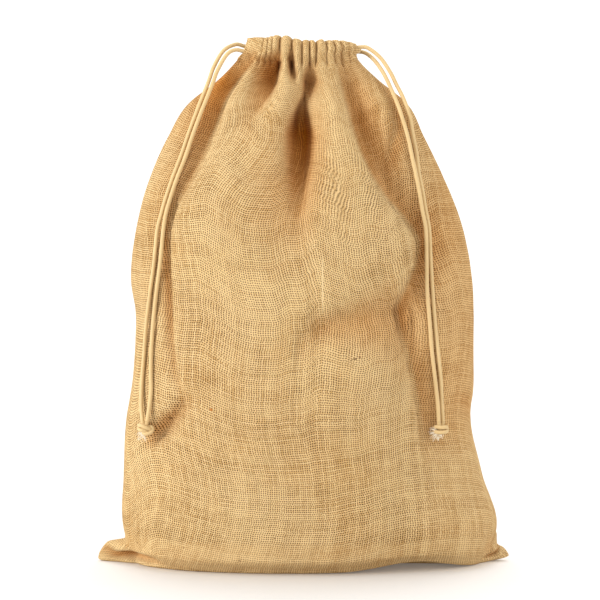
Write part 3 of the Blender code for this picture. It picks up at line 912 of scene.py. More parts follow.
        # the hollow attribute carries the painted shade of the folds and of the front's right side
        for key, values in (("doubled", self.doubled(grid)), ("hollow", self.painted_shade(grid))):
            layer = piece.data.attributes.new(key, "FLOAT", "POINT")
            layer.data.foreach_set("value", values.reshape(-1))
        sheet = piece.modifiers.new("thickness", "SOLIDIFY")
        sheet.thickness = self.thickness
        sheet.offset = 0.0
        bpy.ops.object.select_all(action="DESELECT")
        bpy.context.view_layer.objects.active = piece
        piece.select_set(True)
        bpy.ops.object.modifier_apply(modifier=sheet.name)
        piece.select_set(False)
        return piece


# ---------------------------------------------------------------- cords

# The hanging ends, from inside the casing down to their knots.
STRANDS = {
    "left_cord_front": in_metres(
        (-461, -75, 4545), (-530, -50, 4556), (-600, -68, 4568), (-672, -104, 4530),
        (-753, -144, 4395), (-804, -188, 4260), (-900, -259, 4020), (-971, -323, 3826),
        (-1038, -378, 3626), (-1110, -414, 3444), (-1170, -443, 3262), (-1203, -463, 3144),
        (-1225, -491, 3006), (-1252, -521, 2727), (-1285, -514, 2470), (-1312, -497, 2240),
        (-1332, -489, 1990), (-1339, -499, 1775), (-1335, -514, 1610), (-1350, -535, 1470),
        (-1372, -547, 1322),
    ),
    "left_cord_back": in_metres(
        (-461, 75, 4584), (-530, 46, 4600), (-600, 20, 4614), (-705, -42, 4560), (-789, -103, 4420),
        (-840, -155, 4278), (-937, -233, 4033), (-1007, -287, 3840), (-1076, -344, 3638),
        (-1147, -385, 3454), (-1209, -415, 3270), (-1244, -436, 3142), (-1279, -452, 3000),
        (-1307, -475, 2720), (-1341, -464, 2470), (-1378, -428, 2190), (-1399, -411, 1930),
        (-1419, -413, 1675), (-1426, -470, 1460), (-1412, -524, 1322),
    ),
    "right_cord_front": in_metres(
        (441, -75, 4584), (510, -48, 4592), (570, -52, 4584), (678, -76, 4500), (766, -104, 4372),
        (818, -126, 4267), (880, -176, 4144), (934, -228, 3989), (960, -272, 3832),
        (989, -314, 3684), (1013, -364, 3493), (1046, -400, 3327), (1070, -432, 3171),
        (1100, -462, 3005), (1113, -508, 2728), (1129, -535, 2476), (1150, -556, 2206),
        (1176, -573, 1950), (1202, -561, 1700), (1212, -551, 1480), (1222, -571, 1322),
    ),
    "right_cord_back": in_metres(
        (441, 75, 4545), (510, 48, 4548), (570, 8, 4526), (640, -56, 4460), (709, -112, 4358),
        (766, -158, 4240), (827, -216, 4096), (874, -278, 3957), (921, -328, 3791),
        (953, -376, 3634), (982, -412, 3494), (1014, -446, 3330), (1040, -472, 3172),
        (1070, -498, 3006), (1076, -548, 2730), (1080, -571, 2478), (1102, -583, 2207),
        (1122, -591, 1954), (1156, -585, 1670), (1176, -595, 1480), (1184, -605, 1326),
    ),
}
# Each cord's height in the front casing and in the back one.
CORD_HEIGHTS = {"left": (0.4545, 0.4584), "right": (0.4584, 0.4545)}


@dataclass
class Thread:
    """One or more round threads gathered into a mesh."""

    points: list[np.ndarray] = field(default_factory=list)
    faces: list[list[int]] = field(default_factory=list)
    places: list[list[float]] = field(default_factory=list)
    count: int = 0

    def sweep(self, route: np.ndarray, radii: np.ndarray | float, sides: int) -> Thread:
        """Adds a closed tube along a route.

        Args:
            route: its centre line.
            radii: its radius, or its radius at each point of the route.
            sides: how many sides it has.

        Returns:
            The threads.
        """
        heading = np.gradient(route, axis=0)
        heading /= np.linalg.norm(heading, axis=1)[:, None]
        start = np.cross(heading[0], ASKEW)
        across = [start / np.linalg.norm(start)]
        for way in heading[1:]:
            turned = across[-1] - way * across[-1].dot(way)
            across.append(turned / np.linalg.norm(turned))
        first = np.array(across)
        second = np.cross(heading, first)
        turn = np.linspace(0.0, 2 * math.pi, sides, endpoint=False)
        ring = first[:, None] * np.cos(turn)[:, None] + second[:, None] * np.sin(turn)[:, None]
        radii = np.broadcast_to(radii, len(route))
        self.points.append((route[:, None] + ring * radii[:, None, None]).reshape(-1, 3))
        ids = self.count + np.arange(len(route) * sides).reshape(-1, sides)
        self.faces += quads(np.column_stack([ids, ids[:, 0]])).tolist()
        self.faces += [ids[0, ::-1].tolist(), ids[-1].tolist()]
        shares = np.arange(sides + 1) / sides
        lay = np.stack(np.meshgrid(running(spans(route)), shares, indexing="ij"), axis=2)
        self.places += lay.reshape(-1, 2)[quads(numbered(lay)).reshape(-1)].tolist()
        self.places += lay[0, -2::-1].tolist() + lay[-1, :-1].tolist()
        self.count += len(route) * sides
        return self

    def piece(self, name: str) -> bpy.types.Object:
        """Makes the mesh, with its map along and round each thread."""
        return mapped(name, np.concatenate(self.points), self.faces, "lay", np.array(self.places))


@dataclass
class Drawcord:
    """One of the two drawcords: a loop through the casings, each at its own height, and two hanging
    ends."""

    name: str
    front_height: float
    back_height: float
    casing: SackCloth
    sides: int = 16
    loop_turn: float = 0.006
    loop_start: float = 0.0445
    straight_steps: int = 12
    turn_steps: int = 9

    def casing_line(self, x: float) -> float:
        """How far from the middle of the mouth the cord lies at a place across."""
        across = (x - self.casing.casing_middle) / self.casing.casing_end
        return self.casing.cord_line * math.sqrt(1 - (across * self.casing.pinch) ** 2)

    def loop_route(self) -> list[Place]:
        """The route through the front casing, round at the far end and back through the other.

        Returns:
            Its points.
        """
        left = self.casing.casing_middle - self.loop_start
        right = self.casing.casing_middle + self.loop_start
        start, turn = (left, right) if self.name == "left" else (right, left)
        straight = np.linspace(start, turn, self.straight_steps)
        points = [(x, -self.casing_line(x), self.front_height) for x in straight]
        bulge = math.copysign(self.loop_turn, turn)
        for angle in np.linspace(0.0, math.pi, self.turn_steps)[1:-1]:
            rise = (self.back_height - self.front_height) * angle / math.pi
            middle = -self.casing_line(turn) * math.cos(angle)
            points.append((turn + bulge * math.sin(angle), middle, self.front_height + rise))
        return points + [(x, self.casing_line(x), self.back_height) for x in reversed(straight)]

    def stretch(self, part: str, route: np.ndarray) -> bpy.types.Object:
        """A stretch of the cord along its centre line, named after its part."""
        thread = Thread().sweep(route, CORD_DIAMETER / 2, self.sides)
        return thread.piece(f"{self.name}_drawcord_{part}")


@dataclass(frozen=True)
class Tuft:
    """A frayed end: where its fibres leave the knot and where they lie, in millimetres from the
    knot's middle."""

    root: Place
    tip: Place
    fibres: int
    spread: float = 1.5


@dataclass(frozen=True)
class TiedKnot:
    """Two cords tied together in a knot, with frayed ends. Its turns are in millimetres from its
    middle: across, back and up."""

    name: str
    middle: Place
    turns: tuple[tuple[Place, ...], ...]
    tufts: tuple[Tuft, ...]
    seed: int
    sides: int = 14
    turn_step: float = 0.0007
    fibre: float = 0.00052
    fibre_tip: float = 0.45
    fibre_sides: int = 6
    fibre_points: int = 9
    fibre_step: float = 0.0006
    root_spread: float = 0.5
    reaches: tuple[float, float] = (0.7, 1.1)
    curls: tuple[float, float] = (0.6, 1.6)
    widths: tuple[float, float] = (0.4, 1.0)
    flatness: float = 0.5

    def tied(self) -> bpy.types.Object:
        """Ties the cords' turns, each a tube whose ends are hidden in the knot.

        Returns:
            The turns, as one piece.
        """
        thread = Thread()
        for turn in self.turns:
            route = smooth_curve(np.array(turn) * MM + self.middle, self.turn_step)
            thread.sweep(route, CORD_DIAMETER / 2, self.sides)
        return thread.piece(f"{self.name}_turns")

    def frayed(self) -> bpy.types.Object:
        """Frays the cords' ends, with fibres that curl loosely towards each tuft's tip.

        Returns:
            The fibres, as one piece.
        """
        draws = np.random.default_rng(self.seed)
        thread = Thread()
        for tuft in self.tufts:
            root, tip = np.array(tuft.root), np.array(tuft.tip)
            for _ in range(tuft.fibres):
                start = root + draws.normal(0.0, self.root_spread, 3)
                reach = (tip - root) * draws.uniform(*self.reaches)
                reach += draws.normal(0.0, tuft.spread, 3) * (1, self.flatness, 1)
                curl = draws.uniform(0.0, 2 * math.pi)
                turns = draws.uniform(*self.curls) * math.pi
                width = draws.uniform(*self.widths)
                line = []
                for t in np.linspace(0.0, 1.0, self.fibre_points):
                    aside, above = math.cos(curl + turns * t), math.sin(curl + turns * t)
                    swing = width * t * np.array([aside, self.flatness * above, above])
                    line.append(start + reach * t + swing)
                route = smooth_curve(np.array(line) * MM + self.middle, self.fibre_step)
                taper = np.linspace(1.0, self.fibre_tip, len(route))
                thread.sweep(route, self.fibre / 2 * taper, self.fibre_sides)
        return thread.piece(f"{self.name}_frayed_ends")


KNOTS = (
    TiedKnot(
        "left_knot",
        (-0.1392, -0.0548, 0.1270),
        (
            ((2.0, 0.1, 5.6), (1.5, 0.4, 3.2), (0.6, 0.5, 0.8), (0.0, 0.4, -1.5)),
            ((-2.0, 2.4, 5.6), (-1.6, 1.6, 3.4), (-0.8, 0.8, 1.0), (-0.4, 0.4, -1.5)),
            ((1.5, 2.4, -0.4), (-1.4, 2.4, 1.6), (-4.0, 1.2, 2.5), (-4.6, -0.8, 2.7),
             (-2.7, -2.5, 2.4), (0.0, -3.1, 1.3), (2.5, -2.7, 0.3), (4.2, -1.2, -0.9),
             (3.9, 0.8, -2.0), (1.4, 1.9, -2.2)),
            ((1.6, -0.6, -2.6), (0.2, -2.2, -2.2), (-2.2, -2.9, -1.5), (-4.4, -1.8, -1.1),
             (-5.0, 0.2, -0.5), (-3.6, 1.9, 0.2), (-0.8, 2.4, 0.6)),
            ((-1.6, -0.8, -3.7), (0.4, -2.3, -4.4), (2.8, -2.6, -4.4), (5.3, -2.0, -3.5),
             (6.8, -0.8, -1.7), (6.6, 0.6, 0.1), (4.6, 1.6, 1.0), (2.0, 1.8, 1.0)),
        ),
        (
            Tuft((-2.6, -1.6, -3.4), (-3.6, -2.2, -8.2), 13),
            Tuft((-1.0, -1.6, -4.4), (0.2, -2.0, -9.6), 13),
            Tuft((-3.2, -0.8, -2.4), (-6.0, -1.4, -6.0), 8, 1.0),
        ),
        21,
    ),
    TiedKnot(
        "right_knot",
        (0.1202, -0.0601, 0.1270),
        (
            ((2.0, 2.8, 5.6), (1.6, 2.2, 3.2), (0.8, 1.2, 0.8), (0.0, 0.6, -1.5)),
            ((-1.8, -0.4, 6.0), (-1.4, -0.2, 3.4), (-0.8, 0.4, 1.0), (-0.3, 0.4, -1.5)),
            ((1.0, 2.5, 0.2), (-2.2, 2.5, 0.8), (-4.6, 0.8, 1.6), (-4.2, -1.4, 2.1),
             (-2.2, -2.7, 2.0), (0.4, -3.1, 1.7), (3.0, -2.6, 1.8), (4.9, -0.8, 1.7),
             (4.4, 1.2, 0.8), (1.4, 2.4, -0.4)),
            ((-0.2, 2.4, -0.8), (-3.2, 1.8, -1.2), (-4.8, -0.2, -1.6), (-3.6, -2.2, -2.3),
             (-0.8, -3.3, -2.7), (2.2, -3.0, -2.5), (4.6, -1.6, -2.0), (5.0, 0.6, -0.9),
             (2.2, 2.2, 0.2)),
        ),
        (
            Tuft((-3.6, -1.2, -1.8), (-8.6, -2.0, 0.2), 10, 1.0),
            Tuft((-3.4, -1.4, -3.0), (-9.0, -2.2, -4.2), 13),
            Tuft((-2.6, -1.6, -3.8), (-6.4, -2.4, -8.0), 13),
            Tuft((-1.2, -1.4, -4.0), (-2.2, -2.0, -9.6), 12, 1.2),
            Tuft((0.2, -1.4, -4.0), (0.6, -1.8, -8.0), 8, 1.0),
        ),
        34,
    ),
)


# ---------------------------------------------------------------- finishes

Colour = tuple[float, float, float]


class Value:
    """A number, place or colour that a material works out, with plain arithmetic."""

    def __init__(self, bench: Bench, socket: bpy.types.NodeSocket) -> None:
        """Keeps the bench that the value is worked out on and the socket that carries it."""
        self.bench = bench
        self.socket = socket

    def __add__(self, other: Value | float) -> Value:
        """The sum of the two."""
        return self.bench.math("ADD", self, other)

    def __sub__(self, other: Value | float) -> Value:
        """The value less another."""
        return self.bench.math("SUBTRACT", self, other)

    def __rsub__(self, other: float) -> Value:
        """A number less the value."""
        return self.bench.math("SUBTRACT", other, self)

    def __mul__(self, other: Value | float) -> Value:
        """The product of the two."""
        return self.bench.math("MULTIPLY", self, other)

    def __truediv__(self, other: Value | float) -> Value:
        """The value divided by another."""
        return self.bench.math("DIVIDE", self, other)


class Bench:
    """Lays out a material's nodes, one call for each."""

    def __init__(
        self, name: str, roughness: float, specular: float = 0.5, sheen: float = 0.0
    ) -> None:
        """Starts a material with its shader.

        Args:
            name: the material's name.
            roughness: how matt it is.
            specular: how much it shines.
            sheen: how much soft fuzz it has.
        """
        self.material = bpy.data.materials.new(name)
        self.material.use_nodes = True
        self.tree = self.material.node_tree
        self.shader = self.tree.nodes["Principled BSDF"]
        self.join(roughness, self.shader.inputs["Roughness"])
        self.join(specular, self.shader.inputs["Specular IOR Level"])
        self.join(sheen, self.shader.inputs["Sheen Weight"])

    def join(self, value: object, socket: bpy.types.NodeSocket) -> None:
        """Feeds a socket.

        Args:
            value: a number, a colour or something worked out.
            socket: the socket.
        """
        if isinstance(value, Value):
            self.tree.links.new(value.socket, socket)
        elif isinstance(value, tuple):
            socket.default_value = (*value, 1.0)[: len(socket.default_value)]
        else:
            socket.default_value = value

    def node(self, kind: str, *inputs: object, **settings: object) -> bpy.types.Node:
        """Adds a node.

        Args:
            kind: its type.
            inputs: what feeds its first sockets.
            settings: its properties.

        Returns:
            The node.
        """
        made = self.tree.nodes.new(kind)
        for key, value in settings.items():
            setattr(made, key, value)
        for value, socket in zip(inputs, made.inputs):
            self.join(value, socket)
        return made

    def math(self, operation: str, *values: Value | float, clamp: bool = False) -> Value:
        """Works something out.

        Args:
            operation: what it works out.
            values: its inputs.
            clamp: whether its result is kept from 0 to 1.

        Returns:
            The result.
        """
        made = self.node("ShaderNodeMath", *values, operation=operation, use_clamp=clamp)
        return Value(self, made.outputs[0])

    def most(self, *values: Value | float) -> Value:
        """The greater of two numbers."""
        return self.math("MAXIMUM", *values)

    def spread(
        self, value: Value, low: float, high: float, to_low: float, to_high: float
    ) -> Value:
        """Maps a range of values smoothly onto another one.

        Args:
            value: the value.
            low: the range's start.
            high: its end.
            to_low: the result at the start.
            to_high: the result at the end.

        Returns:
            The mapped value.
        """
        ends = (low, high, to_low, to_high)
        made = self.node("ShaderNodeMapRange", value, *ends, interpolation_type="SMOOTHSTEP")
        return Value(self, made.outputs[0])

    def mix(
        self, share: Value, first: Value | Colour, second: Value | Colour, how: str = "MIX"
    ) -> Value:
        """Mixes two colours.

        Args:
            share: how much of the second.
            first: the first colour.
            second: the second colour.
            how: the way they are mixed.

        Returns:
            The mixed colour.
        """
        made = self.node("ShaderNodeMix", share, data_type="RGBA", blend_type=how)
        self.join(first, made.inputs[6])
        self.join(second, made.inputs[7])
        return Value(self, made.outputs[2])

    def pair(self, *parts: Value | float) -> Value:
        """Puts three numbers together as a place."""
        return Value(self, self.node("ShaderNodeCombineXYZ", *parts).outputs[0])

    def split(self, place: Value) -> list[Value]:
        """Takes a place apart into its three numbers."""
        return [Value(self, part) for part in self.node("ShaderNodeSeparateXYZ", place).outputs]

    def noise(self, place: Value, scale: float, detail: float = 2.0) -> Value:
        """Soft noise, about 0.5.

        Args:
            place: the places that it lies over.
            scale: how small its bumps are.
            detail: how many finer bumps they carry.

        Returns:
            The noise.
        """
        made = self.node("ShaderNodeTexNoise", place)
        self.join(scale, made.inputs["Scale"])
        self.join(detail, made.inputs["Detail"])
        return Value(self, made.outputs[0])

    def chance(self, number: Value) -> Value:
        """Draws a random value for each whole number.

        Args:
            number: the whole number.

        Returns:
            Its value, from 0 to 1.
        """
        made = self.node("ShaderNodeTexWhiteNoise", noise_dimensions="1D")
        self.join(number, made.inputs["W"])
        return Value(self, made.outputs[0])

    def attribute(self, name: str) -> Value:
        """A number that the piece's own points carry."""
        made = self.node("ShaderNodeAttribute", attribute_name=name)
        return Value(self, made.outputs["Fac"])

    def flat_place(self, layer: str) -> Value:
        """The place on the piece's own map."""
        return Value(self, self.node("ShaderNodeUVMap", uv_map=layer).outputs[0])

    def whole_place(self) -> Value:
        """The place in the sack's frame."""
        return Value(self, self.node("ShaderNodeTexCoord").outputs["Object"])

    def finish(
        self, colour: Value, height: Value, depth: float, strength: float
    ) -> bpy.types.Material:
        """Joins a colour and a relief to the shader.

        Args:
            colour: the colour.
            height: the relief's height.
            depth: the relief's depth in metres for a height of 1.
            strength: how strongly it shows.

        Returns:
            The material.
        """
        bump = self.node("ShaderNodeBump")
        self.join(depth, bump.inputs["Distance"])
        self.join(strength, bump.inputs["Strength"])
        self.join(height, bump.inputs["Height"])
        self.join(Value(self, bump.outputs[0]), self.shader.inputs["Normal"])
        self.join(colour, self.shader.inputs["Base Color"])
        return self.material


@dataclass(frozen=True)
class Mark:
    """A bit of dark, rusty or pale fibre on the front: its place, its half width and half height
    and its colour."""

    across: float
    height: float
    width: float
    tall: float
    colour: Colour


@dataclass(frozen=True)
class Grain:
    """A soft noise over the flat cloth: where it starts, its scale and its detail."""

    start: float
    scale: float
    detail: float = 2.0


@dataclass(frozen=True)
class ThreadSet:
    """One of the weave's two sets of threads: its pitch in metres and, in pitches, its slow sway,
    its finest drift, its jog at a crossing thread and what it adds to half a thread's width. Then
    come the way it first turns, up or down, where its own random choices start, those of its sway
    and of its jogs, and how open it is from place to place."""

    pitch: float
    sway: float
    fine: float
    jog: float
    width: float
    way: float
    start: float
    sway_start: float
    jog_start: float
    opening: Grain


@dataclass(frozen=True)
class JuteFinish:
    """Open plain-weave jute: uneven threads, small holes painted dark with shade, paler slubs,
    and painted shade on the threads' sides and in the folds.

    A range is that of the values over which a colour comes or goes.
    """

    straw: Colour = (0.684, 0.492, 0.250)
    yellow_straw: Colour = (0.720, 0.528, 0.262)
    dark_straw_and_thread_shade: Colour = (0.490, 0.290, 0.108)
    pale_straw: Colour = (0.800, 0.635, 0.400)
    # Painted shade: the gaps between threads are painted dark, as the shade inside the sack seen
    # through them.
    hole_shade: Colour = (0.040, 0.014, 0.002)
    # Painted shade: the colour that folds, creases and the front's right side are darkened towards.
    deep: Colour = (0.735, 0.340, 0.028)
    speck: Colour = (0.120, 0.050, 0.015)
    marks: tuple[Mark, ...] = (
        Mark(-0.0993, 0.3740, 0.0011, 0.0009, (0.070, 0.030, 0.010)),
        Mark(0.0446, 0.1915, 0.0020, 0.0009, (0.110, 0.045, 0.014)),
        Mark(0.0488, 0.1930, 0.0013, 0.0008, (0.160, 0.062, 0.018)),
        Mark(-0.0802, 0.1464, 0.0014, 0.0013, (0.420, 0.130, 0.020)),
        Mark(-0.1159, 0.1358, 0.0015, 0.0010, (0.110, 0.050, 0.018)),
        Mark(0.0165, 0.2560, 0.0006, 0.0260, (0.720, 0.560, 0.320)),
    )
    mark_range: tuple[float, float] = (0.4, 1.3)
    mark_share: float = 0.8
    # Where the threads run.
    warp: ThreadSet = ThreadSet(
        0.00222, 36.0, 0.3, 0.55, 0.038, 1.0, 3.0, 0.29, 17.0, Grain(0.13, 38.0)
    )
    weft: ThreadSet = ThreadSet(
        0.00192, 26.0, -0.3, 0.25, -0.006, -1.0, 411.0, 0.77, 23.0, Grain(0.63, 38.0)
    )
    sway_scale: float = 7.0
    sway_across: float = 0.35
    drift: float = 0.8
    drift_scale: float = 26.0
    drift_start: float = 0.37
    fine: Grain = Grain(0.81, 210.0, 1.0)
    # How thick and how high a thread is.
    open_width: float = 0.16
    slub_width: float = 0.10
    own_width: float = 0.05
    uneven_width: float = 0.20
    slub_place: tuple[float, float] = (7.31, 0.16)
    uneven_apart: float = 3.7
    uneven_scale: float = 0.9
    strands: float = 9.0
    strand_height: tuple[float, float] = (0.5, 0.75)
    crossing_rise: float = 0.58
    round_rise: float = 0.42
    edge: float = 4.0
    gap_depth: float = 2.0
    low: float = -1.0
    warp_relief: float = 0.6
    relief: float = 0.00035
    relief_strength: float = 0.5
    roughness: float = 0.92
    sheen: float = 0.02
    # How pale it is.
    own_tone: float = 0.22
    slub_tone: float = 0.46
    strand_tone: float = 0.45
    tone_offset: float = -0.13
    patches: Grain = Grain(0.5, 17.0, 3.0)
    patch_tone: float = 0.5
    fibres: Grain = Grain(0.9, 2600.0)
    fibre_tone: float = 0.5
    dark_range: tuple[float, float] = (0.10, 0.60)
    pale_range: tuple[float, float] = (0.62, 1.05)
    pale_share: float = 0.9
    yellow: Grain = Grain(2.3, 9.0)
    yellow_range: tuple[float, float] = (0.44, 0.62)
    yellow_share: float = 0.4
    # Painted shade on the threads' lower sides, where they dip under the crossing ones.
    side_shade_range: tuple[float, float] = (-0.1, 0.7)
    side_shade_share: float = 0.35
    # Where the gaps get the painted shade, and how much less they get where the cloth lies double.
    hole_range: tuple[float, float] = (-0.90, 0.02)
    doubled_share: float = 0.40
    specks: Grain = Grain(1.7, 330.0, 0.0)
    speck_range: tuple[float, float] = (0.86, 0.90)
    speck_share: float = 0.8

    def counted(
        self, bench: Bench, threads: ThreadSet, own: Value, other: Value, drift: Value
    ) -> Value:
        """Places across a set of threads, counted in threads that run a little astray.

        Args:
            bench: the material's bench.
            threads: the set.
            own: the place across it, in metres.
            other: the place along it, in metres.
            drift: a noise that moves it.

        Returns:
            The count.
        """
        slow = bench.pair(own * self.sway_across, other, threads.sway_start)
        sway = bench.noise(slow, self.sway_scale, 0.0) * threads.sway
        return own / threads.pitch + drift * self.drift + sway

    @staticmethod
    def jogged(bench: Bench, threads: ThreadSet, place: Value, crossing: Value) -> Value:
        """A place across the threads, moved a little, by its own amount, at each crossing one."""
        number = bench.math("FLOOR", crossing) + threads.jog_start
        return bench.chance(number) * threads.jog + place

    def thread(
        self, bench: Bench, threads: ThreadSet, across: Value, along: Value, opening: Value
    ) -> tuple[Value, Value]:
        """One set of threads.

        Args:
            bench: the material's bench.
            threads: the set.
            across: the place across the threads, counted in threads.
            along: the place along them, counted in crossings.
            opening: a noise that makes them wider or narrower.

        Returns:
            The threads' height, far down in a gap, and how pale each is.
        """
        number = bench.math("FLOOR", across)
        apart, length = self.slub_place
        own = bench.chance(number + threads.start)
        slub = bench.noise(bench.pair(number * apart, along * length, threads.start), 1.0, 1.0)
        uneven = bench.pair(number * self.uneven_apart, along, threads.start)
        uneven = bench.noise(uneven, self.uneven_scale, 1.0)
        strand = bench.noise(bench.pair(across * self.strands, along, threads.start), 1.0)
        width = opening * self.open_width + threads.width + slub * self.slub_width
        width = width + own * self.own_width + uneven * self.uneven_width
        share = (bench.math("FRACT", across) - 0.5) / width
        rough, plain = self.strand_height
        dome = bench.math("SQRT", bench.most(1.0 - share * share, 0.0))
        dome = dome * (strand * rough + plain)
        turn = (along + number - 0.5) * math.pi
        crossing = bench.math("COSINE", turn) * (threads.way * self.crossing_rise)
        inside = bench.math("MULTIPLY", dome, self.edge, clamp=True)
        height = crossing + dome * self.round_rise + inside * self.gap_depth - self.gap_depth
        pale = own * self.own_tone + slub * self.slub_tone + strand * self.strand_tone
        return height, pale + self.tone_offset

    def material(self) -> bpy.types.Material:
        """Builds the material.

        Returns:
            The material.
        """
        bench = Bench("jute weave", self.roughness, specular=0.0, sheen=self.sheen)
        place = bench.flat_place("threads")
        across, up, _ = bench.split(place)

        def noise(grain: Grain) -> Value:
            """The noise of a grain over the flat cloth."""
            return bench.noise(bench.pair(across, up, grain.start), grain.scale, grain.detail)

        aside = bench.noise(place, self.drift_scale)
        upward = bench.noise(bench.pair(up, across, self.drift_start), self.drift_scale)
        fine = noise(self.fine)
        u = self.counted(bench, self.warp, across, up, aside) + fine * self.warp.fine
        v = self.counted(bench, self.weft, up, across, upward) + fine * self.weft.fine
        u, v = self.jogged(bench, self.warp, u, v), self.jogged(bench, self.weft, v, u)
        warp_top, warp_pale = self.thread(bench, self.warp, u, v, noise(self.warp.opening))
        weft_top, weft_pale = self.thread(bench, self.weft, v, u, noise(self.weft.opening))
        top = bench.most(bench.most(warp_top, weft_top), self.low)
        warp_shows = bench.math("GREATER_THAN", warp_top, weft_top)
        pale = warp_shows * warp_pale + (1.0 - warp_shows) * weft_pale
        pale = pale + (noise(self.patches) - 0.5) * self.patch_tone
        pale = pale + (noise(self.fibres) - 0.5) * self.fibre_tone
        ripe = bench.spread(noise(self.yellow), *self.yellow_range, 0.0, self.yellow_share)
        straw = bench.mix(ripe, self.straw, self.yellow_straw)
        light = bench.spread(pale, *self.dark_range, 0.0, 1.0)
        colour = bench.mix(light, self.dark_straw_and_thread_shade, straw)
        slubs = bench.spread(pale, *self.pale_range, 0.0, self.pale_share)
        colour = bench.mix(slubs, colour, self.pale_straw)
        # Painted shade: the threads' lower sides are multiplied darker.
        sides = bench.spread(top, *self.side_shade_range, self.side_shade_share, 0.0)
        colour = bench.mix(sides, colour, self.dark_straw_and_thread_shade, "MULTIPLY")
        # Painted shade in the gaps between the threads, less where the cloth lies double.
        holes = bench.spread(top, *self.hole_range, 1.0, 0.0)
        holes = holes * (1.0 - bench.attribute("doubled") * self.doubled_share)
        colour = bench.mix(holes, colour, self.hole_shade)
        # Painted shade: darker, warmer colour where the hollow attribute is high.
        colour = bench.mix(bench.attribute("hollow"), colour, self.deep, "MULTIPLY")
        specks = bench.spread(noise(self.specks), *self.speck_range, 0.0, self.speck_share)
        colour = self.marked(bench, bench.mix(specks, colour, self.speck))
        rise = bench.most(bench.most(warp_top * self.warp_relief, weft_top), self.low)
        return bench.finish(colour, rise, self.relief, self.relief_strength)

    def marked(self, bench: Bench, colour: Value) -> Value:
        """Puts the marks on the front.

        Args:
            bench: the material's bench.
            colour: the cloth's colour.

        Returns:
            The colour with the marks.
        """
        x, y, z = bench.split(bench.whole_place())
        front = bench.math("LESS_THAN", y, 0.0)
        for mark in self.marks:
            aside, above = (x - mark.across) / mark.width, (z - mark.height) / mark.tall
            away = aside * aside + above * above
            share = bench.spread(away, *self.mark_range, self.mark_share, 0.0)
            colour = bench.mix(share * front, colour, mark.colour)
        return colour


@dataclass(frozen=True)
class CottonFinish:
    """Smooth waxed cotton cord, faintly plaited, with painted shade in the plait's grooves."""

    cream: Colour = (0.680, 0.492, 0.242)
    # Darker cotton: the cord's own uneven tone, and painted shade in the plait's grooves.
    dark_tone_and_groove_shade: Colour = (0.520, 0.346, 0.144)
    plaits: float = 4.0
    plait_pitch: float = 0.0042
    plait_shade: float = -0.10
    tone_scale: float = 55.0
    tone_detail: float = 3.0
    tone_shade: float = 0.7
    shade_offset: float = -0.20
    fuzz_scale: float = 2400.0
    fuzz_shade: float = 0.25
    fuzz_relief: float = 0.4
    relief: float = 0.00008
    relief_strength: float = 0.5
    roughness: float = 0.55
    specular: float = 0.3
    sheen: float = 0.1

    def material(self) -> bpy.types.Material:
        """Builds the material.

        Returns:
            The material.
        """
        bench = Bench("waxed cotton cord", self.roughness, self.specular, self.sheen)
        along, turn, _ = bench.split(bench.flat_place("lay"))
        full, run = turn * (2 * math.pi * self.plaits), along * (2 * math.pi / self.plait_pitch)
        plait = bench.most(bench.math("SINE", full + run), bench.math("SINE", full - run))
        tone = bench.noise(bench.whole_place(), self.tone_scale, self.tone_detail)
        fuzz = bench.noise(bench.whole_place(), self.fuzz_scale)
        # The plait's grooves get painted shade; tone and fuzz give the cotton's own uneven colour.
        share = plait * self.plait_shade + tone * self.tone_shade + self.shade_offset
        share = bench.math("MULTIPLY_ADD", fuzz, self.fuzz_shade, share, clamp=True)
        colour = bench.mix(share, self.cream, self.dark_tone_and_groove_shade)
        height = fuzz * self.fuzz_relief + plait
        return bench.finish(colour, height, self.relief, self.relief_strength)


@dataclass(frozen=True)
class FrayFinish:
    """The pale fibres of a cord's frayed ends."""

    white: Colour = (0.940, 0.870, 0.730)
    cream: Colour = (0.820, 0.680, 0.470)
    tone_scale: float = 420.0
    tone_range: tuple[float, float] = (0.35, 0.65)
    twist: float = 9000.0
    strands: float = 2.0
    relief: float = 0.00004
    relief_strength: float = 0.5
    roughness: float = 0.8
    sheen: float = 0.2

    def material(self) -> bpy.types.Material:
        """Builds the material.

        Returns:
            The material.
        """
        bench = Bench("frayed cotton", self.roughness, sheen=self.sheen)
        along, turn, _ = bench.split(bench.flat_place("lay"))
        tone = bench.noise(bench.whole_place(), self.tone_scale)
        twist = bench.math("SINE", along * self.twist + turn * (2 * math.pi * self.strands))
        share = bench.spread(tone, *self.tone_range, 0.0, 1.0)
        colour = bench.mix(share, self.white, self.cream)
        return bench.finish(colour, twist, self.relief, self.relief_strength)


@dataclass(frozen=True)
class FloorFinish:
    """A matt white studio floor that glows a little, so that its far end stays white."""

    white: Colour = (0.94, 0.94, 0.94)
    grain: Colour = (0.93, 0.93, 0.93)
    tone_scale: float = 3.0
    tone_range: tuple[float, float] = (0.3, 0.7)
    glow: float = 0.09
    relief: float = 0.0001
    relief_strength: float = 0.1
    roughness: float = 0.9

    def material(self) -> bpy.types.Material:
        """Builds the material.

        Returns:
            The material.
        """
        bench = Bench("studio floor", self.roughness, specular=0.0)
        tone = bench.noise(bench.whole_place(), self.tone_scale)
        share = bench.spread(tone, *self.tone_range, 0.0, 1.0)
        colour = bench.mix(share, self.white, self.grain)
        bench.join((1.0, 1.0, 1.0), bench.shader.inputs["Emission Color"])
        bench.join(self.glow, bench.shader.inputs["Emission Strength"])
        return bench.finish(colour, tone, self.relief, self.relief_strength)


# ---------------------------------------------------------------- studio


@dataclass(frozen=True)
class Sun:
    """A broad distant light: its strength, its width, the turn and rise that it comes from, in
    degrees from straight ahead, and whether it lights the floor too."""

    name: str
    strength: float
    width: float
    turn: float
    rise: float
    on_floor: bool = False


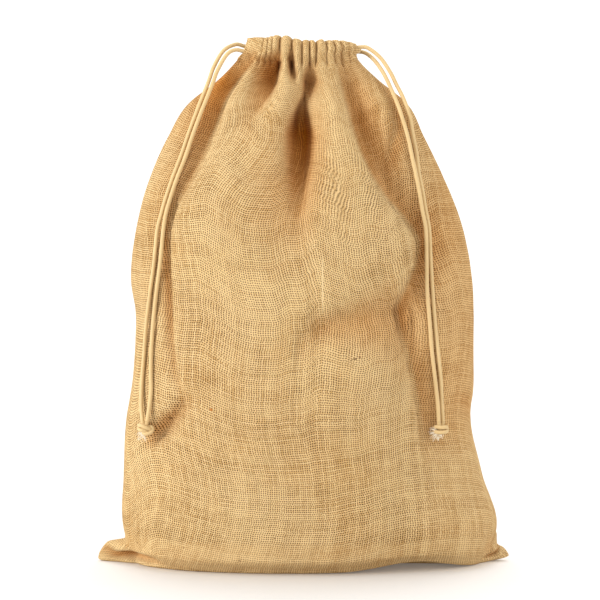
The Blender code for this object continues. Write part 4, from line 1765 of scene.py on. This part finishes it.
@dataclass(frozen=True)
class Studio:
    """A pale floor, soft light from all round with a stronger one from the left, and the camera."""

    elevation: float = 5.5
    distance: float = 3.0
    aim: Place = (-0.003, 0.0, 0.2346)
    view_width: float = 0.534
    sensor: float = 36.0
    floor_size: float = 60.0
    ambient: float = 0.88
    backdrop: float = 1.2
    room_colour: Colour = (1.0, 0.972, 0.935)
    backdrop_colour: Colour = (1.0, 1.0, 1.0)
    suns: tuple[Sun, ...] = (
        Sun("sun", 2.6, 24.0, -66.0, 18.0),
        Sun("fill", 0.85, 50.0, 60.0, 20.0),
        Sun("back light", 1.2, 50.0, 180.0, 64.0, True),
    )

    def point(self, piece: bpy.types.Object, turn: float, rise: float, middle: Place) -> None:
        """Stands a piece off from a place and turns it to look at it.

        Args:
            piece: the camera or a light.
            turn: how far round from straight ahead it stands, in degrees.
            rise: how far up, in degrees.
            middle: the place.
        """
        turn, rise = math.radians(turn), math.radians(rise)
        level = Vector((math.sin(turn), -math.cos(turn), 0.0)) * math.cos(rise)
        source = level + Vector((0.0, 0.0, math.sin(rise)))
        piece.location = Vector(middle) + source * self.distance
        piece.rotation_mode = "QUATERNION"
        piece.rotation_quaternion = (-source).to_track_quat("-Z", "Y")

    def camera(self) -> None:
        """Places the camera, level from side to side."""
        lens = bpy.data.cameras.new("camera")
        lens.sensor_width = self.sensor
        lens.lens = self.sensor * self.distance / self.view_width
        holder = linked("camera", lens)
        self.point(holder, 0.0, self.elevation, self.aim)
        bpy.context.scene.camera = holder

    def floor(self) -> bpy.types.Collection:
        """Lays the floor.

        Returns:
            A set for the suns, which leaves the floor out of their light and shadows.
        """
        bpy.ops.mesh.primitive_plane_add(size=self.floor_size)
        floor = bpy.context.active_object
        floor.name = "floor"
        floor.data.materials.append(FloorFinish().material())
        lit = bpy.data.collections.new("lit by the suns")
        lit.objects.link(floor)
        lit.collection_objects[0].light_linking.link_state = "EXCLUDE"
        return lit

    def light(self, lit: bpy.types.Collection) -> None:
        """Hangs the suns and lights the room, which the camera sees as plain white.

        Args:
            lit: what the suns light.
        """
        for each in self.suns:
            light = bpy.data.lights.new(each.name, "SUN")
            light.energy = each.strength
            light.angle = math.radians(each.width)
            lamp = linked(each.name, light)
            if not each.on_floor:
                lamp.light_linking.receiver_collection = lit
            self.point(lamp, each.turn, each.rise, (0.0, 0.0, 0.0))
        world = bpy.data.worlds.new("studio")
        world.use_nodes = True
        tree = world.node_tree
        room, wall = tree.nodes["Background"], tree.nodes.new("ShaderNodeBackground")
        for glow, colour, strength in (
            (room, self.room_colour, self.ambient),
            (wall, self.backdrop_colour, self.backdrop),
        ):
            glow.inputs["Color"].default_value = (*colour, 1.0)
            glow.inputs["Strength"].default_value = strength
        rays = tree.nodes.new("ShaderNodeLightPath")
        pick = tree.nodes.new("ShaderNodeMixShader")
        tree.links.new(rays.outputs["Is Camera Ray"], pick.inputs["Fac"])
        tree.links.new(room.outputs[0], pick.inputs[1])
        tree.links.new(wall.outputs[0], pick.inputs[2])
        tree.links.new(pick.outputs[0], tree.nodes["World Output"].inputs["Surface"])
        bpy.context.scene.world = world
        bpy.context.scene.view_settings.view_transform = "Standard"


# ---------------------------------------------------------------- putting it together


def dress(
    piece: bpy.types.Object, finish: bpy.types.Material, slot: Slot, *nodes: str
) -> bpy.types.Object:
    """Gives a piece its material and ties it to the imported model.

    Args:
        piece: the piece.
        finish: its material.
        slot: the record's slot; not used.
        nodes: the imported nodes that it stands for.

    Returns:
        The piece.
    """
    piece.data.materials.append(finish)
    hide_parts(*nodes)
    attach(piece, BODY)
    log.info("%s: %d faces", piece.name, len(piece.data.polygons))
    return piece


def main() -> None:
    """Builds the pieces in order and reports each."""
    logging.basicConfig(level=logging.INFO, format="%(message)s")
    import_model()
    studio = Studio()
    studio.camera()
    studio.light(studio.floor())
    routes = {name: smooth_curve(points, CORD_STEP) for name, points in STRANDS.items()}
    cloth = SackCloth(list(routes.values()))
    jute = JuteFinish().material()
    cotton = CottonFinish().material()
    fray = FrayFinish().material()
    for side in Side:
        panel = dress(cloth.panel(side), jute, Slot.JUTE, "sack_cloth")
    ties: dict[str, list[bpy.types.Object]] = {}
    for knot in KNOTS:
        turns = dress(knot.tied(), cotton, Slot.COTTON, knot.name)
        ends = dress(knot.frayed(), fray, Slot.COTTON, knot.name)
        ties[knot.name] = [turns, ends]
    for name, heights in CORD_HEIGHTS.items():
        cord = Drawcord(name, *heights, cloth)
        loop = cord.stretch("in_casing", smooth_curve(cord.loop_route(), LOOP_STEP))
        dress(loop, cotton, Slot.COTTON, f"{cord.name}_cord_in_casing")
        for end in ("front", "back"):
            strand = f"{cord.name}_cord_{end}"
            route = routes[strand]
            piece = dress(cord.stretch(end, route), cotton, Slot.COTTON, strand)
            tuple(STRANDS[strand][1])
            float(spans(route).sum())
            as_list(ties[f"{cord.name}_knot"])


if __name__ == "__main__":
    main()
